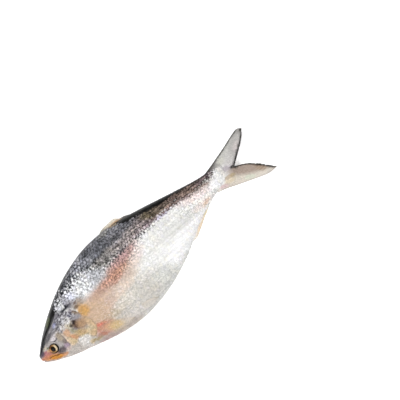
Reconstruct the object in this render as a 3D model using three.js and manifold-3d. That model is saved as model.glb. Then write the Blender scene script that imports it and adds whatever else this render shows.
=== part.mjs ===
// A whole raw shad, ungutted and unscaled, lying on its right flank on a level surface.
//
// Frame: +X towards the tail, +Y towards the back, +Z out of the left flank, z = 0 on the surface.
// Every form is first placed in fish coordinates, in millimetres:
//   s  along the body from the tip of the snout,
//   t  across it from the body axis, positive towards the back,
//   w  out of the middle plane, positive to the left flank.
// lay() turns fish coordinates into the frame.

import * as THREE from 'three';
import Module from 'manifold-3d';
import { mergeVertices } from 'three/addons/utils/BufferGeometryUtils.js';
import { ParametricGeometry } from 'three/addons/geometries/ParametricGeometry.js';

const wasm = await Module();
wasm.setup();

// ---- Driving dimensions, millimetres ----

const TOTAL_LENGTH = 420; // tip of the snout to the tips of the tail
const AXIS_ABOVE_MIDDLE = -3.3; // body axis against the middle of the fish's depth
const REST_HEIGHT = 18.9; // middle plane above the surface, along the trunk
const HEAD_DROP = 3; // how far the snout sags below the trunk's middle plane
const HEAD_DROP_FROM = 85;
const TAIL_DROP = 10.5; // how far the tips of the tail sag
const TAIL_DROP_FROM = 225;
const TAIL_DROP_POWER = 1.7;
const FLESH_END = 364; // where the flesh runs out between the rays of the tail

// Lines of the body: the back's edge, the belly's keel, half the thickness, and the height
// at which the fish is thickest, at named places along it.
const BODY_LINES = [
  { place: 'tip of the snout', s: 0, back: -3.2, keel: -3.2, half: 0, widest: -3.2 },
  { place: 'lips', s: 1, back: 1.5, keel: -8.3, half: 3.4, widest: -3.2 },
  { place: 'jaws', s: 6, back: 5.9, keel: -12.9, half: 5.9, widest: -2.8 },
  { place: 'eye', s: 24, back: 19.4, keel: -23.6, half: 10, widest: -1.6 },
  { place: 'cheek', s: 48, back: 33.8, keel: -34.4, half: 14.6, widest: 0.5 },
  { place: 'gill opening', s: 80, back: 49, keel: -45.5, half: 18.8, widest: 4.5 },
  { place: 'shoulder', s: 115, back: 60.2, keel: -56.4, half: 20.9, widest: 7.5 },
  { place: 'greatest depth', s: 155, back: 65.8, keel: -60.2, half: 21.4, widest: 9.5 },
  { place: 'back fin', s: 200, back: 61.8, keel: -54.8, half: 19.9, widest: 10.5 },
  { place: 'vent', s: 245, back: 49.6, keel: -40.6, half: 16.2, widest: 10.5 },
  { place: 'belly fin', s: 290, back: 35.6, keel: -19.8, half: 11, widest: 10 },
  { place: 'tail root', s: 330, back: 24.2, keel: -7.8, half: 6.6, widest: 9 },
  { place: 'tail base', s: 350, back: 20.8, keel: -4.2, half: 3.6, widest: 9 },
  { place: 'end of the flesh', s: FLESH_END, back: 16.8, keel: 0.5, half: 0, widest: 8.6 },
];
const BACK_ROUNDING = 0.94; // power of the cosine above the thickest line: a full back
const BELLY_ROUNDING = 1.34; // below it: flanks drawn in to a keel
const BODY_RINGS = 60;
const BODY_SIDES = 36;
const RING_CROWDING = 1.5; // above 1 the rings crowd towards the snout

const EYE = { s: 24.2, t: -3.7, radius: 6.9, bulge: 3.2, sunk: 1.4, tilt: 0.2 };
const EYE_SEGMENTS = { around: 20, over: 10 };
const SOCKET_GAP = 0.3;

// Mouth: a cut along the cleft, kept shallow at the sides by a core that fills the throat.
const CLEFT = [[-3, -6.2], [10, -10.3], [20, -12.8], [28.5, -17.4]];
const CLEFT_HALF_HEIGHT = 0.5;
const CLEFT_REACH = 14; // half its breadth, past both cheeks
const THROAT = { s: 26, t: -8, along: 22, deep: 14, broad: 10 };

// Gill cover: a plate whose front lies flush with the cheek and whose rear edge stands proud.
const COVER_FRONT = [[48, 18], [45.5, 4], [45, -12], [50, -27], [57, -36.5]];
const COVER_REAR = [[79, 18.5], [85.8, 5], [90.6, -11], [88, -25], [70, -38.4]];
const COVER_SUNK = 0.5; // its front edge, below the skin
const COVER_PROUD = 1.5; // its rear edge, above the skin
const COVER_DEPTH = 5;
const COVER_STEPS = { along: 13, across: 11 };

// Fins: each is a blade between a leading and a trailing edge, thickest at its middle.
const UPPER_LOBE = {
  leading: [[322, 18.6], [345, 24.2], [370, 29.4], [395, 34.2], [413, 37], [420, 32.4]],
  trailing: [[322, 8], [352, 3], [375.5, 1.4], [393.5, 12], [409.5, 23], [420, 32.4]],
};
const LOWER_LOBE = {
  leading: [[322, -4], [344, -12], [361, -19.4], [384, -30], [403.5, -38], [418.6, -39.2]],
  trailing: [[322, 8], [352, 3.5], [376, 1], [391, -6.4], [404.6, -20.2], [418.6, -39.2]],
};
const TAIL_THICKNESS = { root: 3.6, tip: 1.5 };
const BACK_FIN = {
  leading: [[170, 62], [184, 67], [196, 67.2], [207, 66.2], [212, 61.4], [220, 58.8], [230, 53.4]],
  trailing: [[170, 60], [182, 58], [195, 55], [207, 53], [212, 52], [220, 51], [230, 49]],
};
const VENT_FIN = {
  leading: [[256, -32], [271, -32.4], [285, -26.2], [298, -19.8], [311, -14.2], [318, -8]],
  trailing: [[256, -28], [271, -24], [285, -17], [298, -11], [311, -6], [318, -4]],
};
const EDGE_FIN_THICKNESS = { root: 2.6, tip: 1.6 };
const BREAST_FIN = {
  leading: [[87, -24], [107, -31], [125, -43], [135, -51.6]],
  trailing: [[87, -34], [104, -46.4], [121, -52], [135, -51.6]],
};
const PELVIC_FIN = {
  leading: [[156, -47.5], [166, -48.6], [176, -54]],
  trailing: [[156, -54.4], [166, -56.6], [176, -54]],
};
const FLANK_FIN_THICKNESS = { root: 3.4, tip: 2.4 };
const FLANK_FIN_LIFT = 0.5;
const BLADE_CLOSING = 10; // the higher, the squarer a blade's ends
const TAIL_STEPS = { along: 16, around: 16 };
const EDGE_FIN_STEPS = { along: 16, around: 8 };
const FLANK_FIN_STEPS = { along: 10, around: 10 };

const WELD = 1e-3;
const FLOOR_BLOCK = { length: 500, breadth: 200, height: 40 };

// ---- Placing ----

const LINE_KEYS = ['back', 'keel', 'half', 'widest'];
const bodyLines = new THREE.CubicInterpolant(
  Float64Array.from(BODY_LINES, (row) => Math.sqrt(row.s)),
  Float64Array.from(BODY_LINES.flatMap((row) => LINE_KEYS.map((key) => row[key]))),
  LINE_KEYS.length,
  new Float64Array(LINE_KEYS.length),
);

// Back, keel, half thickness and thickest height at s. Square roots make the snout blunt.
function linesAt(s) {
  const along = THREE.MathUtils.clamp(s, 0, FLESH_END);
  const [back, keel, half, widest] = bodyLines.evaluate(Math.sqrt(along));
  return { back, keel, half, widest };
}

// Half thickness of the body at the place (s, t), or 0 off its edges.
function flankAt(s, t) {
  const { back, keel, half, widest } = linesAt(s);
  const above = t > widest;
  const reach = Math.max(above ? back - widest : widest - keel, WELD);
  const rise = Math.min(Math.abs(t - widest) / reach, 1);
  const rounding = above ? BACK_ROUNDING : BELLY_ROUNDING;
  return Math.max(half, 0) * (1 - rise ** 2) ** (rounding / 2);
}

// Height of the middle plane above the surface: level along the trunk, sagging at both ends.
function middleHeight(s) {
  const ahead = THREE.MathUtils.clamp(1 - s / HEAD_DROP_FROM, 0, 1);
  const behind = THREE.MathUtils.clamp((s - TAIL_DROP_FROM) / (TOTAL_LENGTH - TAIL_DROP_FROM), 0, 1);
  return REST_HEIGHT - HEAD_DROP * ahead ** 2 - TAIL_DROP * behind ** TAIL_DROP_POWER;
}

function lay(s, t, w, target = new THREE.Vector3()) {
  return target.set(s - TOTAL_LENGTH / 2, t + AXIS_ABOVE_MIDDLE, middleHeight(s) + w);
}

// ---- Solids ----

// A closed geometry as a solid, with its seams welded and the empty triangles at its poles left out.
function solidOf(geometry) {
  const bare = new THREE.BufferGeometry();
  bare.setAttribute('position', geometry.getAttribute('position'));
  bare.setIndex(geometry.getIndex());
  const welded = mergeVertices(bare, WELD);
  const corners = welded.getIndex().array;
  const triangles = [];
  for (let i = 0; i < corners.length; i += 3) {
    const [a, b, c] = corners.slice(i, i + 3);
    if (a !== b && b !== c && c !== a) {
      triangles.push(a, b, c);
    }
  }
  const mesh = new wasm.Mesh({
    numProp: 3,
    vertProperties: Float32Array.from(welded.getAttribute('position').array),
    triVerts: Uint32Array.from(triangles),
  });
  return new wasm.Manifold(mesh);
}

function geometryOf(solid) {
  const { vertProperties, triVerts } = solid.getMesh();
  const geometry = new THREE.BufferGeometry();
  geometry.setAttribute('position', new THREE.BufferAttribute(vertProperties, 3));
  geometry.setIndex(new THREE.BufferAttribute(triVerts, 1));
  geometry.computeVertexNormals();
  return geometry;
}

// Head, trunk and tail root in one loft of rings from keel to back and round again.
function bodySolid() {
  const surface = (around, along, target) => {
    const s = FLESH_END * along ** RING_CROWDING;
    const { back, keel, widest } = linesAt(s);
    const angle = Math.PI * (2 * around - 0.5);
    const rise = Math.sin(angle);
    const t = widest + rise * (rise > 0 ? back - widest : widest - keel);
    const side = around < 0.5 ? 1 : -1;
    lay(s, t, side * flankAt(s, t), target);
  };
  return solidOf(new ParametricGeometry(surface, BODY_SIDES, BODY_RINGS));
}

// A blade between two edge curves. foot(s, t) is the w that its middle lies at.
function bladeSolid({ leading, trailing }, thickness, steps, foot) {
  const [front, rear] = [leading, trailing].map(
    (edge) => new THREE.SplineCurve(edge.map(([s, t]) => new THREE.Vector2(s, t))),
  );
  const point = new THREE.Vector2();
  const surface = (around, along, target) => {
    const angle = 2 * Math.PI * around;
    const across = (1 - Math.cos(angle)) / 2;
    point.lerpVectors(front.getPoint(along), rear.getPoint(along), across);
    const closing = Math.sqrt(1 - Math.abs(2 * along - 1) ** BLADE_CLOSING);
    const half = (THREE.MathUtils.lerp(thickness.root, thickness.tip, along) / 2) * closing;
    lay(point.x, point.y, foot(point.x, point.y) + half * Math.sin(angle), target);
  };
  const blade = solidOf(new ParametricGeometry(surface, steps.around, steps.along));
  return outward(blade);
}

// The same solid with its faces turned out, whichever way its edges ran.
function outward(solid) {
  if (solid.volume() > 0) {
    return solid;
  }
  const { vertProperties, triVerts } = solid.getMesh();
  return new wasm.Manifold(new wasm.Mesh({ numProp: 3, vertProperties, triVerts: triVerts.reverse() }));
}

// The raised plate of one gill cover, its inner face buried in the head.
function coverSolid(side) {
  const [front, rear] = [COVER_FRONT, COVER_REAR].map(
    (edge) => new THREE.SplineCurve(edge.map(([s, t]) => new THREE.Vector2(s, t))),
  );
  const point = new THREE.Vector2();
  const surface = (around, down, target) => {
    const outer = around <= 0.5;
    const along = outer ? 2 * around : 2 - 2 * around;
    point.lerpVectors(front.getPoint(down), rear.getPoint(down), along);
    const closing = Math.sqrt(1 - Math.abs(2 * down - 1) ** BLADE_CLOSING);
    const rise = THREE.MathUtils.lerp(-COVER_SUNK, COVER_PROUD * closing, along);
    const depth = COVER_DEPTH * closing * Math.sqrt(Math.abs(Math.sin(Math.PI * along)));
    const lift = outer ? rise : rise - depth;
    lay(point.x, point.y, side * (flankAt(point.x, point.y) + lift), target);
  };
  return outward(solidOf(new ParametricGeometry(surface, 2 * COVER_STEPS.along, COVER_STEPS.across)));
}

// The thin cut of the closed mouth, less the core that keeps the throat filled.
function cleftSolid() {
  const line = new THREE.SplineCurve(CLEFT.map(([s, t]) => new THREE.Vector2(s, t)));
  const outline = new THREE.Shape();
  const samples = line.getPoints(12);
  const lift = (sign) => samples.map((p) => new THREE.Vector2(p.x, p.y + sign * CLEFT_HALF_HEIGHT));
  outline.setFromPoints([...lift(-1), ...lift(1).reverse()]);
  const slit = new THREE.ExtrudeGeometry(outline, { depth: 2 * CLEFT_REACH, bevelEnabled: false });
  slit.translate(-TOTAL_LENGTH / 2, AXIS_ABOVE_MIDDLE, middleHeight(THROAT.s) - CLEFT_REACH);
  const core = new THREE.SphereGeometry(1, 24, 16);
  core.scale(THROAT.along, THROAT.deep, THROAT.broad);
  core.translate(...lay(THROAT.s, THROAT.t, 0).toArray());
  return solidOf(slit).subtract(solidOf(core));
}

// An eye's ellipsoid, grown by a margin, sunk in the head and turned to follow the cheek.
function eyeGeometry(side, margin) {
  const ball = new THREE.SphereGeometry(1, EYE_SEGMENTS.around, EYE_SEGMENTS.over);
  ball.rotateX(Math.PI / 2);
  ball.scale(EYE.radius + margin, EYE.radius + margin, EYE.bulge + margin);
  ball.rotateY(-side * EYE.tilt);
  ball.translate(...lay(EYE.s, EYE.t, side * (flankAt(EYE.s, EYE.t) - EYE.sunk)).toArray());
  return ball;
}

// What lies below the surface: cutting it off leaves the flat that the flank rests on.
function belowSurface() {
  const block = new THREE.BoxGeometry(FLOOR_BLOCK.length, FLOOR_BLOCK.breadth, FLOOR_BLOCK.height);
  block.translate(0, 0, -FLOOR_BLOCK.height / 2);
  return solidOf(block);
}

// The whole fish but for its eyes.
function fishSolid() {
  const onMiddle = () => 0;
  const onFlank = (side) => (s, t) => side * (flankAt(s, t) + FLANK_FIN_LIFT);
  const sides = [1, -1];
  const added = [
    bladeSolid(UPPER_LOBE, TAIL_THICKNESS, TAIL_STEPS, onMiddle),
    bladeSolid(LOWER_LOBE, TAIL_THICKNESS, TAIL_STEPS, onMiddle),
    bladeSolid(BACK_FIN, EDGE_FIN_THICKNESS, EDGE_FIN_STEPS, onMiddle),
    bladeSolid(VENT_FIN, EDGE_FIN_THICKNESS, EDGE_FIN_STEPS, onMiddle),
    ...sides.map((side) => bladeSolid(BREAST_FIN, FLANK_FIN_THICKNESS, FLANK_FIN_STEPS, onFlank(side))),
    ...sides.map((side) => bladeSolid(PELVIC_FIN, FLANK_FIN_THICKNESS, FLANK_FIN_STEPS, onFlank(side))),
    ...sides.map(coverSolid),
  ];
  const cut = [
    cleftSolid(),
    ...sides.map((side) => solidOf(eyeGeometry(side, SOCKET_GAP))),
    belowSurface(),
  ];
  const whole = added.reduce((sum, solid) => sum.add(solid), outward(bodySolid()));
  return cut.reduce((left, solid) => left.subtract(solid), whole);
}

// ---- Pieces ----

const skin = new THREE.MeshStandardMaterial({ color: 0xb9bcc0, roughness: 0.35, metalness: 0.3 });
const cornea = new THREE.MeshStandardMaterial({ color: 0xc9a55e, roughness: 0.1, metalness: 0 });

function piece(name, geometry, material) {
  const mesh = new THREE.Mesh(geometry, material);
  mesh.name = name;
  return mesh;
}

const fish = new THREE.Group();
fish.add(piece('fish', geometryOf(fishSolid()), skin));
fish.add(piece('eye_left', eyeGeometry(1, 0), cornea));
fish.add(piece('eye_right', eyeGeometry(-1, 0), cornea));

export default fish;
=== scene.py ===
"""Dresses a whole raw shad that lies on its right flank: skin, scales, gill covers, fins and eyes.

Fish coordinates are in millimetres: s along the body from the tip of the snout, t across it from
the body axis, positive towards the back, and w out of the middle plane, positive to the left flank.
"""

import logging
import math
from abc import ABC, abstractmethod
from collections.abc import Callable, Sequence
from dataclasses import dataclass
from enum import Enum
from functools import cached_property

import bmesh
import bpy
import numpy as np
from mathutils import Matrix, Vector


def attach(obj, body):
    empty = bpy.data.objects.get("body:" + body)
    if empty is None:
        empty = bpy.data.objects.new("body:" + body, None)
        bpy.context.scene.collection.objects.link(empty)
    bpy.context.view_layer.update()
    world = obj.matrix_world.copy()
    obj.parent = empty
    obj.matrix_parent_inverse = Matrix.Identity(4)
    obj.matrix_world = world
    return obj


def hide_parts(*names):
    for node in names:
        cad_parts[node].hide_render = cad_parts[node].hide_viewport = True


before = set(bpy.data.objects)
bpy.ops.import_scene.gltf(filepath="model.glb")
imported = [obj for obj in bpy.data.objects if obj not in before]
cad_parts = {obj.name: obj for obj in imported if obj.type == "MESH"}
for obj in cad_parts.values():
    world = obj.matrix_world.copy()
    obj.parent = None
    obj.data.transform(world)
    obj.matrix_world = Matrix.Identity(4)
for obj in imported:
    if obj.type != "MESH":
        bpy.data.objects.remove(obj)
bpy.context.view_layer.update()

BODY = "root"
MM = 0.001
QUARTER = math.pi / 2
SMALL = 1e-6

log = logging.getLogger("shad")

Array = np.ndarray
Pair = tuple[float, float]
Path = tuple[Pair, ...]
Field = Callable[[Array, Array], Array]


class Flank(Enum):
    """The two flanks, with the sign of w on each."""

    LEFT = 1
    RIGHT = -1

    @property
    def word(self) -> str:
        """The flank's name for a piece."""
        return self.name.lower()


class Slot(Enum):
    """The record's material slots."""

    SKIN = "fish_skin"
    EYE = "fish_eye"


# ---- Curves and the form of the body ----


def smooth(low: float, high: float, value: Array) -> Array:
    """Eases from 0 at low to 1 at high, which may be the smaller of the two."""
    x = np.clip((value - low) / (high - low), 0, 1)
    return x * x * (3 - 2 * x)


def hump(off: Array, width: float) -> Array:
    """Falls from 1 on a line to almost 0 two widths off it."""
    return np.exp(-((off / width) ** 2))


def closing(along: Array, squareness: float) -> Array:
    """Stays near 1 along a run from 0 to 1, and rounds off to 0 at both its ends."""
    return np.sqrt(np.clip(1 - np.abs(2 * along - 1) ** squareness, 0, 1))


def curve_through(points: Path, along: Array) -> Array:
    """Follows a smooth curve through evenly timed points.

    Args:
        points: Places that the curve passes through.
        along: How far along it, from 0 to 1.

    Returns:
        The places on the curve, one row each.
    """
    knots = np.asarray(points, float)
    last = len(knots) - 1
    place = np.clip(along, 0, 1) * last
    i = np.minimum(place.astype(int), last - 1)
    x = (place - i)[..., None]
    before, start = knots[np.maximum(i - 1, 0)], knots[i]
    end, after = knots[i + 1], knots[np.minimum(i + 2, last)]
    leave, arrive = (end - before) / 2, (after - start) / 2
    return (
        (2 * start - 2 * end + leave + arrive) * x**3
        + (3 * end - 3 * start - 2 * leave - arrive) * x**2
        + leave * x
        + start
    )


def near_path(s: Array, t: Array, points: Path, steps: int = 36) -> tuple[Array, ...]:
    """Measures places against a smooth curve.

    Args:
        s: Places along the body.
        t: Places across it.
        points: Places that the curve passes through.
        steps: Straight stretches that stand for the curve.

    Returns:
        The distance from the curve, how far along it the nearest point is, from 0 to 1, and the
        side, 1 on the left of its run and -1 on the right.
    """
    line = curve_through(points, np.linspace(0, 1, steps + 1))
    best = np.full(s.shape, np.inf)
    along = np.zeros(s.shape)
    side = np.ones(s.shape)
    for k in range(steps):
        (s0, t0), (ds, dt) = line[k], line[k + 1] - line[k]
        length = ds * ds + dt * dt
        x = np.clip(((s - s0) * ds + (t - t0) * dt) / length, 0, 1)
        off = np.hypot(s - s0 - x * ds, t - t0 - x * dt)
        nearer = off < best
        best = np.where(nearer, off, best)
        along = np.where(nearer, (k + x) / steps, along)
        side = np.where(nearer, np.sign(ds * (t - t0) - dt * (s - s0)), side)
    return best, along, side


@dataclass(frozen=True)
class Station:
    """The body's lines at one named place.

    The back's edge, the belly's keel, half the thickness, and the height of the thickest line.
    """

    place: str
    s: float
    back: float
    keel: float
    half: float
    widest: float


@dataclass
class BodyForm:
    """The smooth form of head and trunk, and how it lies."""

    length: float = 420.0
    axis_above_middle: float = -3.3
    rest_height: float = 18.9
    head_drop: float = 3.0
    head_drop_from: float = 85.0
    tail_drop: float = 10.5
    tail_drop_from: float = 225.0
    tail_drop_power: float = 1.7
    back_rounding: float = 0.94
    belly_rounding: float = 1.34
    settles_below: float = 0.6
    settles_from: float = -3.4
    nudge: float = 0.04
    turn_nudge: float = 0.002
    stations: tuple[Station, ...] = (
        Station("tip of the snout", 0, -3.2, -3.2, 0, -3.2),
        Station("lips", 1, 1.5, -8.3, 3.4, -3.2),
        Station("jaws", 6, 5.9, -12.9, 5.9, -2.8),
        Station("eye", 24, 19.4, -23.6, 10, -1.6),
        Station("cheek", 48, 33.8, -34.4, 14.6, 0.5),
        Station("gill opening", 80, 49, -45.5, 18.8, 4.5),
        Station("shoulder", 115, 60.2, -56.4, 20.9, 7.5),
        Station("greatest depth", 155, 65.8, -60.2, 21.4, 9.5),
        Station("back fin", 200, 61.8, -54.8, 19.9, 10.5),
        Station("vent", 245, 49.6, -40.6, 16.2, 10.5),
        Station("belly fin", 290, 35.6, -19.8, 11, 10),
        Station("tail root", 330, 24.2, -7.8, 6.6, 9),
        Station("tail base", 350, 20.8, -4.2, 3.6, 9),
        Station("end of the flesh", 364, 16.8, 0.5, 0, 8.6),
    )

    @property
    def flesh_end(self) -> float:
        """Where the flesh runs out between the rays of the tail."""
        return self.stations[-1].s

    @cached_property
    def knots(self) -> tuple[Array, Array]:
        """Square roots of the stations' places, which keep the snout blunt, and their lines."""
        rows = [(row.back, row.keel, row.half, row.widest) for row in self.stations]
        return np.sqrt([row.s for row in self.stations]), np.asarray(rows, float)

    def lines(self, s: Array) -> tuple[Array, ...]:
        """Reads the body's lines off the stations.

        Args:
            s: Places along the body.

        Returns:
            Back, keel, half thickness and thickest height there.
        """
        at, rows = self.knots
        last = len(at) - 1
        x = np.sqrt(np.clip(s, 0, self.flesh_end))
        end = np.clip(np.searchsorted(at, x, side="right"), 1, last)
        start = end - 1
        before = np.where(start == 0, end, start - 1)
        after = np.where(end == last, start, np.minimum(end + 1, last))
        p = ((x - at[start]) / (at[end] - at[start]))[..., None]
        half_step = (at[end] - at[start]) / 2
        lead = (half_step / (at[start] - at[before]))[..., None]
        trail = (half_step / (at[after] - at[end]))[..., None]
        found = (
            (-lead * p**3 + 2 * lead * p**2 - lead * p) * rows[before]
            + ((1 + lead) * p**3 + (-1.5 - 2 * lead) * p**2 + (-0.5 + lead) * p + 1) * rows[start]
            + ((-1 - trail) * p**3 + (1.5 + trail) * p**2 + 0.5 * p) * rows[end]
            + (trail * p**3 - trail * p**2) * rows[after]
        )
        return tuple(np.moveaxis(found, -1, 0))

    def flank(self, s: Array, t: Array) -> Array:
        """Measures the flank's height over the middle plane.

        Args:
            s: Places along the body.
            t: Places across it.

        Returns:
            Half the body's thickness there, or 0 off its edges.
        """
        back, keel, half, widest = self.lines(s)
        above = t > widest
        reach = np.maximum(np.where(above, back - widest, widest - keel), SMALL)
        rise = np.minimum(np.abs(t - widest) / reach, 1)
        rounding = np.where(above, self.back_rounding, self.belly_rounding)
        return np.maximum(half, 0) * (1 - rise**2) ** (rounding / 2)

    def section(self, s: Array, angle: Array) -> tuple[Array, Array]:
        """Walks round the body's section.

        Args:
            s: Places along the body.
            angle: 0 on the left flank's thickest line, a quarter turn at the back's edge.

        Returns:
            t and w.
        """
        back, keel, half, widest = self.lines(s)
        rise, out = np.sin(angle), np.cos(angle)
        t = widest + rise * np.where(rise > 0, back - widest, widest - keel)
        rounding = np.where(rise > 0, self.back_rounding, self.belly_rounding)
        return t, np.sign(out) * np.maximum(half, 0) * np.abs(out) ** rounding

    def middle(self, s: Array) -> Array:
        """Height of the middle plane: level along the trunk, sagging at both ends."""
        ahead = np.clip(1 - s / self.head_drop_from, 0, 1)
        behind = np.clip((s - self.tail_drop_from) / (self.length - self.tail_drop_from), 0, 1)
        return self.rest_height - self.head_drop * ahead**2 - self.tail_drop * behind**self.tail_drop_power

    def lay(self, s: Array, t: Array, w: Array) -> Array:
        """Turns fish coordinates into the frame, still in millimetres, one row each."""
        s, t, w = np.broadcast_arrays(s, t, w)
        return np.stack([s - self.length / 2, t + self.axis_above_middle, self.middle(s) + w], -1)

    def skin(self, s: Array, angle: Array, lift: Array | float = 0.0) -> Array:
        """Finds places on the skin, or lifted square off it.

        Args:
            s: Places along the body.
            angle: Places round its section.
            lift: Height above the smooth skin.

        Returns:
            Places in the frame, in millimetres, one row each.
        """

        def on(a: Array, b: Array) -> Array:
            return self.lay(a, *self.section(a, b))

        near, far = np.clip(s - self.nudge, 1e-4, None), np.clip(s + self.nudge, None, self.flesh_end)
        run = on(far, angle) - on(near, angle)
        round_it = on(s, angle + self.turn_nudge) - on(s, angle - self.turn_nudge)
        out = np.cross(run, round_it)
        size = np.linalg.norm(out, axis=-1, keepdims=True)
        return on(s, angle) + out / np.maximum(size, 1e-9) * np.asarray(lift)[..., None]

    def settle(self, places: Array) -> Array:
        """Flattens what would sink into the surface that the fish lies on.

        Args:
            places: Places in the frame, which are changed.

        Returns:
            The same places.
        """
        low, high = self.settles_from, self.settles_below
        z = places[..., 2]
        pressed = high * np.clip((z - low) / (high - low), 0, 1)
        places[..., 2] = np.where(z < high, pressed, z)
        return places


FORM = BodyForm()


@dataclass
class SkinRuler:
    """Measures distances over the skin, round the section, from the thickest line."""

    form: BodyForm
    first: float = 30.0
    last: float = 363.0
    places: int = 220
    reach: float = 120.0
    marks: int = 481
    turn_steps: int = 1440
    rim_steps: int = 180

    @cached_property
    def angles(self) -> Array:
        """Angle round the section for each place along and each distance over the skin."""
        turn = np.linspace(-math.pi, math.pi, self.turn_steps + 1)
        distances = np.linspace(-self.reach, self.reach, self.marks)
        table = np.zeros((self.places, self.marks))
        for row, s in enumerate(np.linspace(self.first, self.last, self.places)):
            t, w = self.form.section(np.full_like(turn, s), turn)
            step = np.hypot(np.diff(t), np.diff(w))
            over = np.concatenate([[0], np.cumsum(step)])
            table[row] = np.interp(distances, over - over[len(turn) // 2], turn)
        return table

    def angle(self, s: Array, over: Array) -> Array:
        """Finds the angle round the section at a distance over the skin.

        Args:
            s: Places along the body.
            over: Distances over the skin from the thickest line, positive towards the back.

        Returns:
            The angles, as BodyForm.section takes them.
        """
        a = np.clip((s - self.first) / (self.last - self.first), 0, 1) * (self.places - 1)
        b = np.clip(over / self.reach / 2 + 0.5, 0, 1) * (self.marks - 1)
        i, j = np.minimum(a.astype(int), self.places - 2), np.minimum(b.astype(int), self.marks - 2)
        x, y = a - i, b - j
        table = self.angles
        near = table[i, j] * (1 - x) + table[i + 1, j] * x
        far = table[i, j + 1] * (1 - x) + table[i + 1, j + 1] * x
        return near * (1 - y) + far * y

    def rim(self, s: float, angle: float) -> float:
        """Distance over the skin from the thickest line to an angle, at one place along."""
        turn = np.linspace(0, angle, self.rim_steps + 1)
        t, w = self.form.section(np.full_like(turn, s), turn)
        return float(np.hypot(np.diff(t), np.diff(w)).sum())


# ---- Making meshes ----


def read_places(mesh: bpy.types.Mesh) -> Array:
    """All of a mesh's vertices, one row each."""
    flat = np.empty(len(mesh.vertices) * 3)
    mesh.vertices.foreach_get("co", flat)
    return flat.reshape(-1, 3)


def write_places(mesh: bpy.types.Mesh, places: Array) -> None:
    """Moves all of a mesh's vertices."""
    mesh.vertices.foreach_set("co", np.ascontiguousarray(places, float).ravel())
    mesh.update()


def write_map(mesh: bpy.types.Mesh, name: str, per_vertex: Array) -> None:
    """Gives a mesh a UV map.

    Args:
        mesh: The mesh.
        name: The map's name.
        per_vertex: The map's pair of numbers for each vertex.
    """
    corner = np.empty(len(mesh.loops), int)
    mesh.loops.foreach_get("vertex_index", corner)
    layer = mesh.uv_layers.new(name=name)
    layer.data.foreach_set("uv", per_vertex[corner].astype(np.float32).ravel())


def mesh_from(bm: bmesh.types.BMesh, name: str) -> bpy.types.Mesh:
    """Turns a mesh in the making into a mesh of its own, and frees it."""
    mesh = bpy.data.meshes.new(name)
    bm.to_mesh(mesh)
    bm.free()
    return mesh


def rounded_mesh(bm: bmesh.types.BMesh, name: str) -> bpy.types.Mesh:
    """Ends closed forms as one smooth mesh.

    Args:
        bm: The forms, in millimetres, which are used up.
        name: The mesh's name.

    Returns:
        The mesh, in metres.
    """
    bmesh.ops.scale(bm, verts=bm.verts, vec=(MM, MM, MM))
    bmesh.ops.recalc_face_normals(bm, faces=bm.faces)
    for face in bm.faces:
        face.smooth = True
    return mesh_from(bm, name)


def finish_mesh(mesh: bpy.types.Mesh, weld: float, crease: float = math.pi) -> None:
    """Closes seams and poles, turns faces out and shades them smooth but for creases.

    Args:
        mesh: The mesh to finish.
        weld: Vertices nearer than this, in millimetres, become one.
        crease: Edges that bend by more than this angle stay crisp.
    """
    bm = bmesh.new()
    bm.from_mesh(mesh)
    bmesh.ops.remove_doubles(bm, verts=bm.verts, dist=weld * MM)
    bmesh.ops.dissolve_degenerate(bm, edges=bm.edges, dist=weld * MM / 10)
    bmesh.ops.recalc_face_normals(bm, faces=bm.faces)
    for face in bm.faces:
        face.smooth = True
    for edge in bm.edges:
        edge.smooth = edge.calc_face_angle(0.0) < crease
    bm.to_mesh(mesh)
    bm.free()
    mesh.update()


def add_piece(
    name: str, mesh: bpy.types.Mesh, material: bpy.types.Material, nodes: Sequence[str]
) -> bpy.types.Object:
    """Puts a finished mesh in the scene, hangs it on the body and hides the CAD nodes that it stands for.

    Args:
        name: The piece's name.
        mesh: Its mesh, in place in the frame.
        material: Its finish.
        nodes: The CAD nodes that it stands for.

    Returns:
        The new object.
    """
    mesh.name = name
    mesh.materials.clear()
    mesh.materials.append(material)
    piece = bpy.data.objects.new(name, mesh)
    bpy.context.scene.collection.objects.link(piece)
    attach(piece, BODY)
    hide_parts(*nodes)
    log.info("%s: %d faces", name, len(mesh.polygons))
    return piece


def wrapped_mesh(
    around: int,
    along: int,
    place: Field,
    charts: dict[str, Field] | None = None,
    weld: float = 0.004,
) -> bpy.types.Mesh:
    """Wraps a grid round a piece and closes it.

    Args:
        around: Faces round the piece.
        along: Faces along it.
        place: Gives the frame's millimetres, one row each, for how far round and along.
        charts: Named maps, each giving pairs of numbers for how far round and along.
        weld: Vertices nearer than this, in millimetres, become one.

    Returns:
        The closed mesh, in metres.
    """
    bm = bmesh.new()
    bmesh.ops.create_grid(bm, x_segments=around, y_segments=along, size=0.5)
    mesh = mesh_from(bm, "grid")
    flat = read_places(mesh)
    u, v = np.clip(flat[:, 0] + 0.5, 0, 1), np.clip(flat[:, 1] + 0.5, 0, 1)
    for name, chart in (charts or {}).items():
        write_map(mesh, name, chart(u, v))
    write_places(mesh, place(u, v) * MM)
    finish_mesh(mesh, weld)
    return mesh


# ---- Making finishes ----


def tint(code: str) -> tuple[float, float, float, float]:
    """Turns a hex colour into the linear colour that shaders take."""
    parts = [int(code[i : i + 2], 16) / 255 for i in (1, 3, 5)]
    linear = [c / 12.92 if c <= 0.04045 else ((c + 0.055) / 1.055) ** 2.4 for c in parts]
    return (*linear, 1.0)


@dataclass(frozen=True)
class Patch:
    """A soft spot of colour on the fish, in fish coordinates.

    Its middle, its reach along and across, its turn in degrees, its colour, how strong it is, and
    how much of its reach is a soft edge.
    """

    name: str
    middle: Pair
    reach: Pair
    turn: float
    colour: str
    strength: float = 1.0
    softness: float = 1.0


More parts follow.
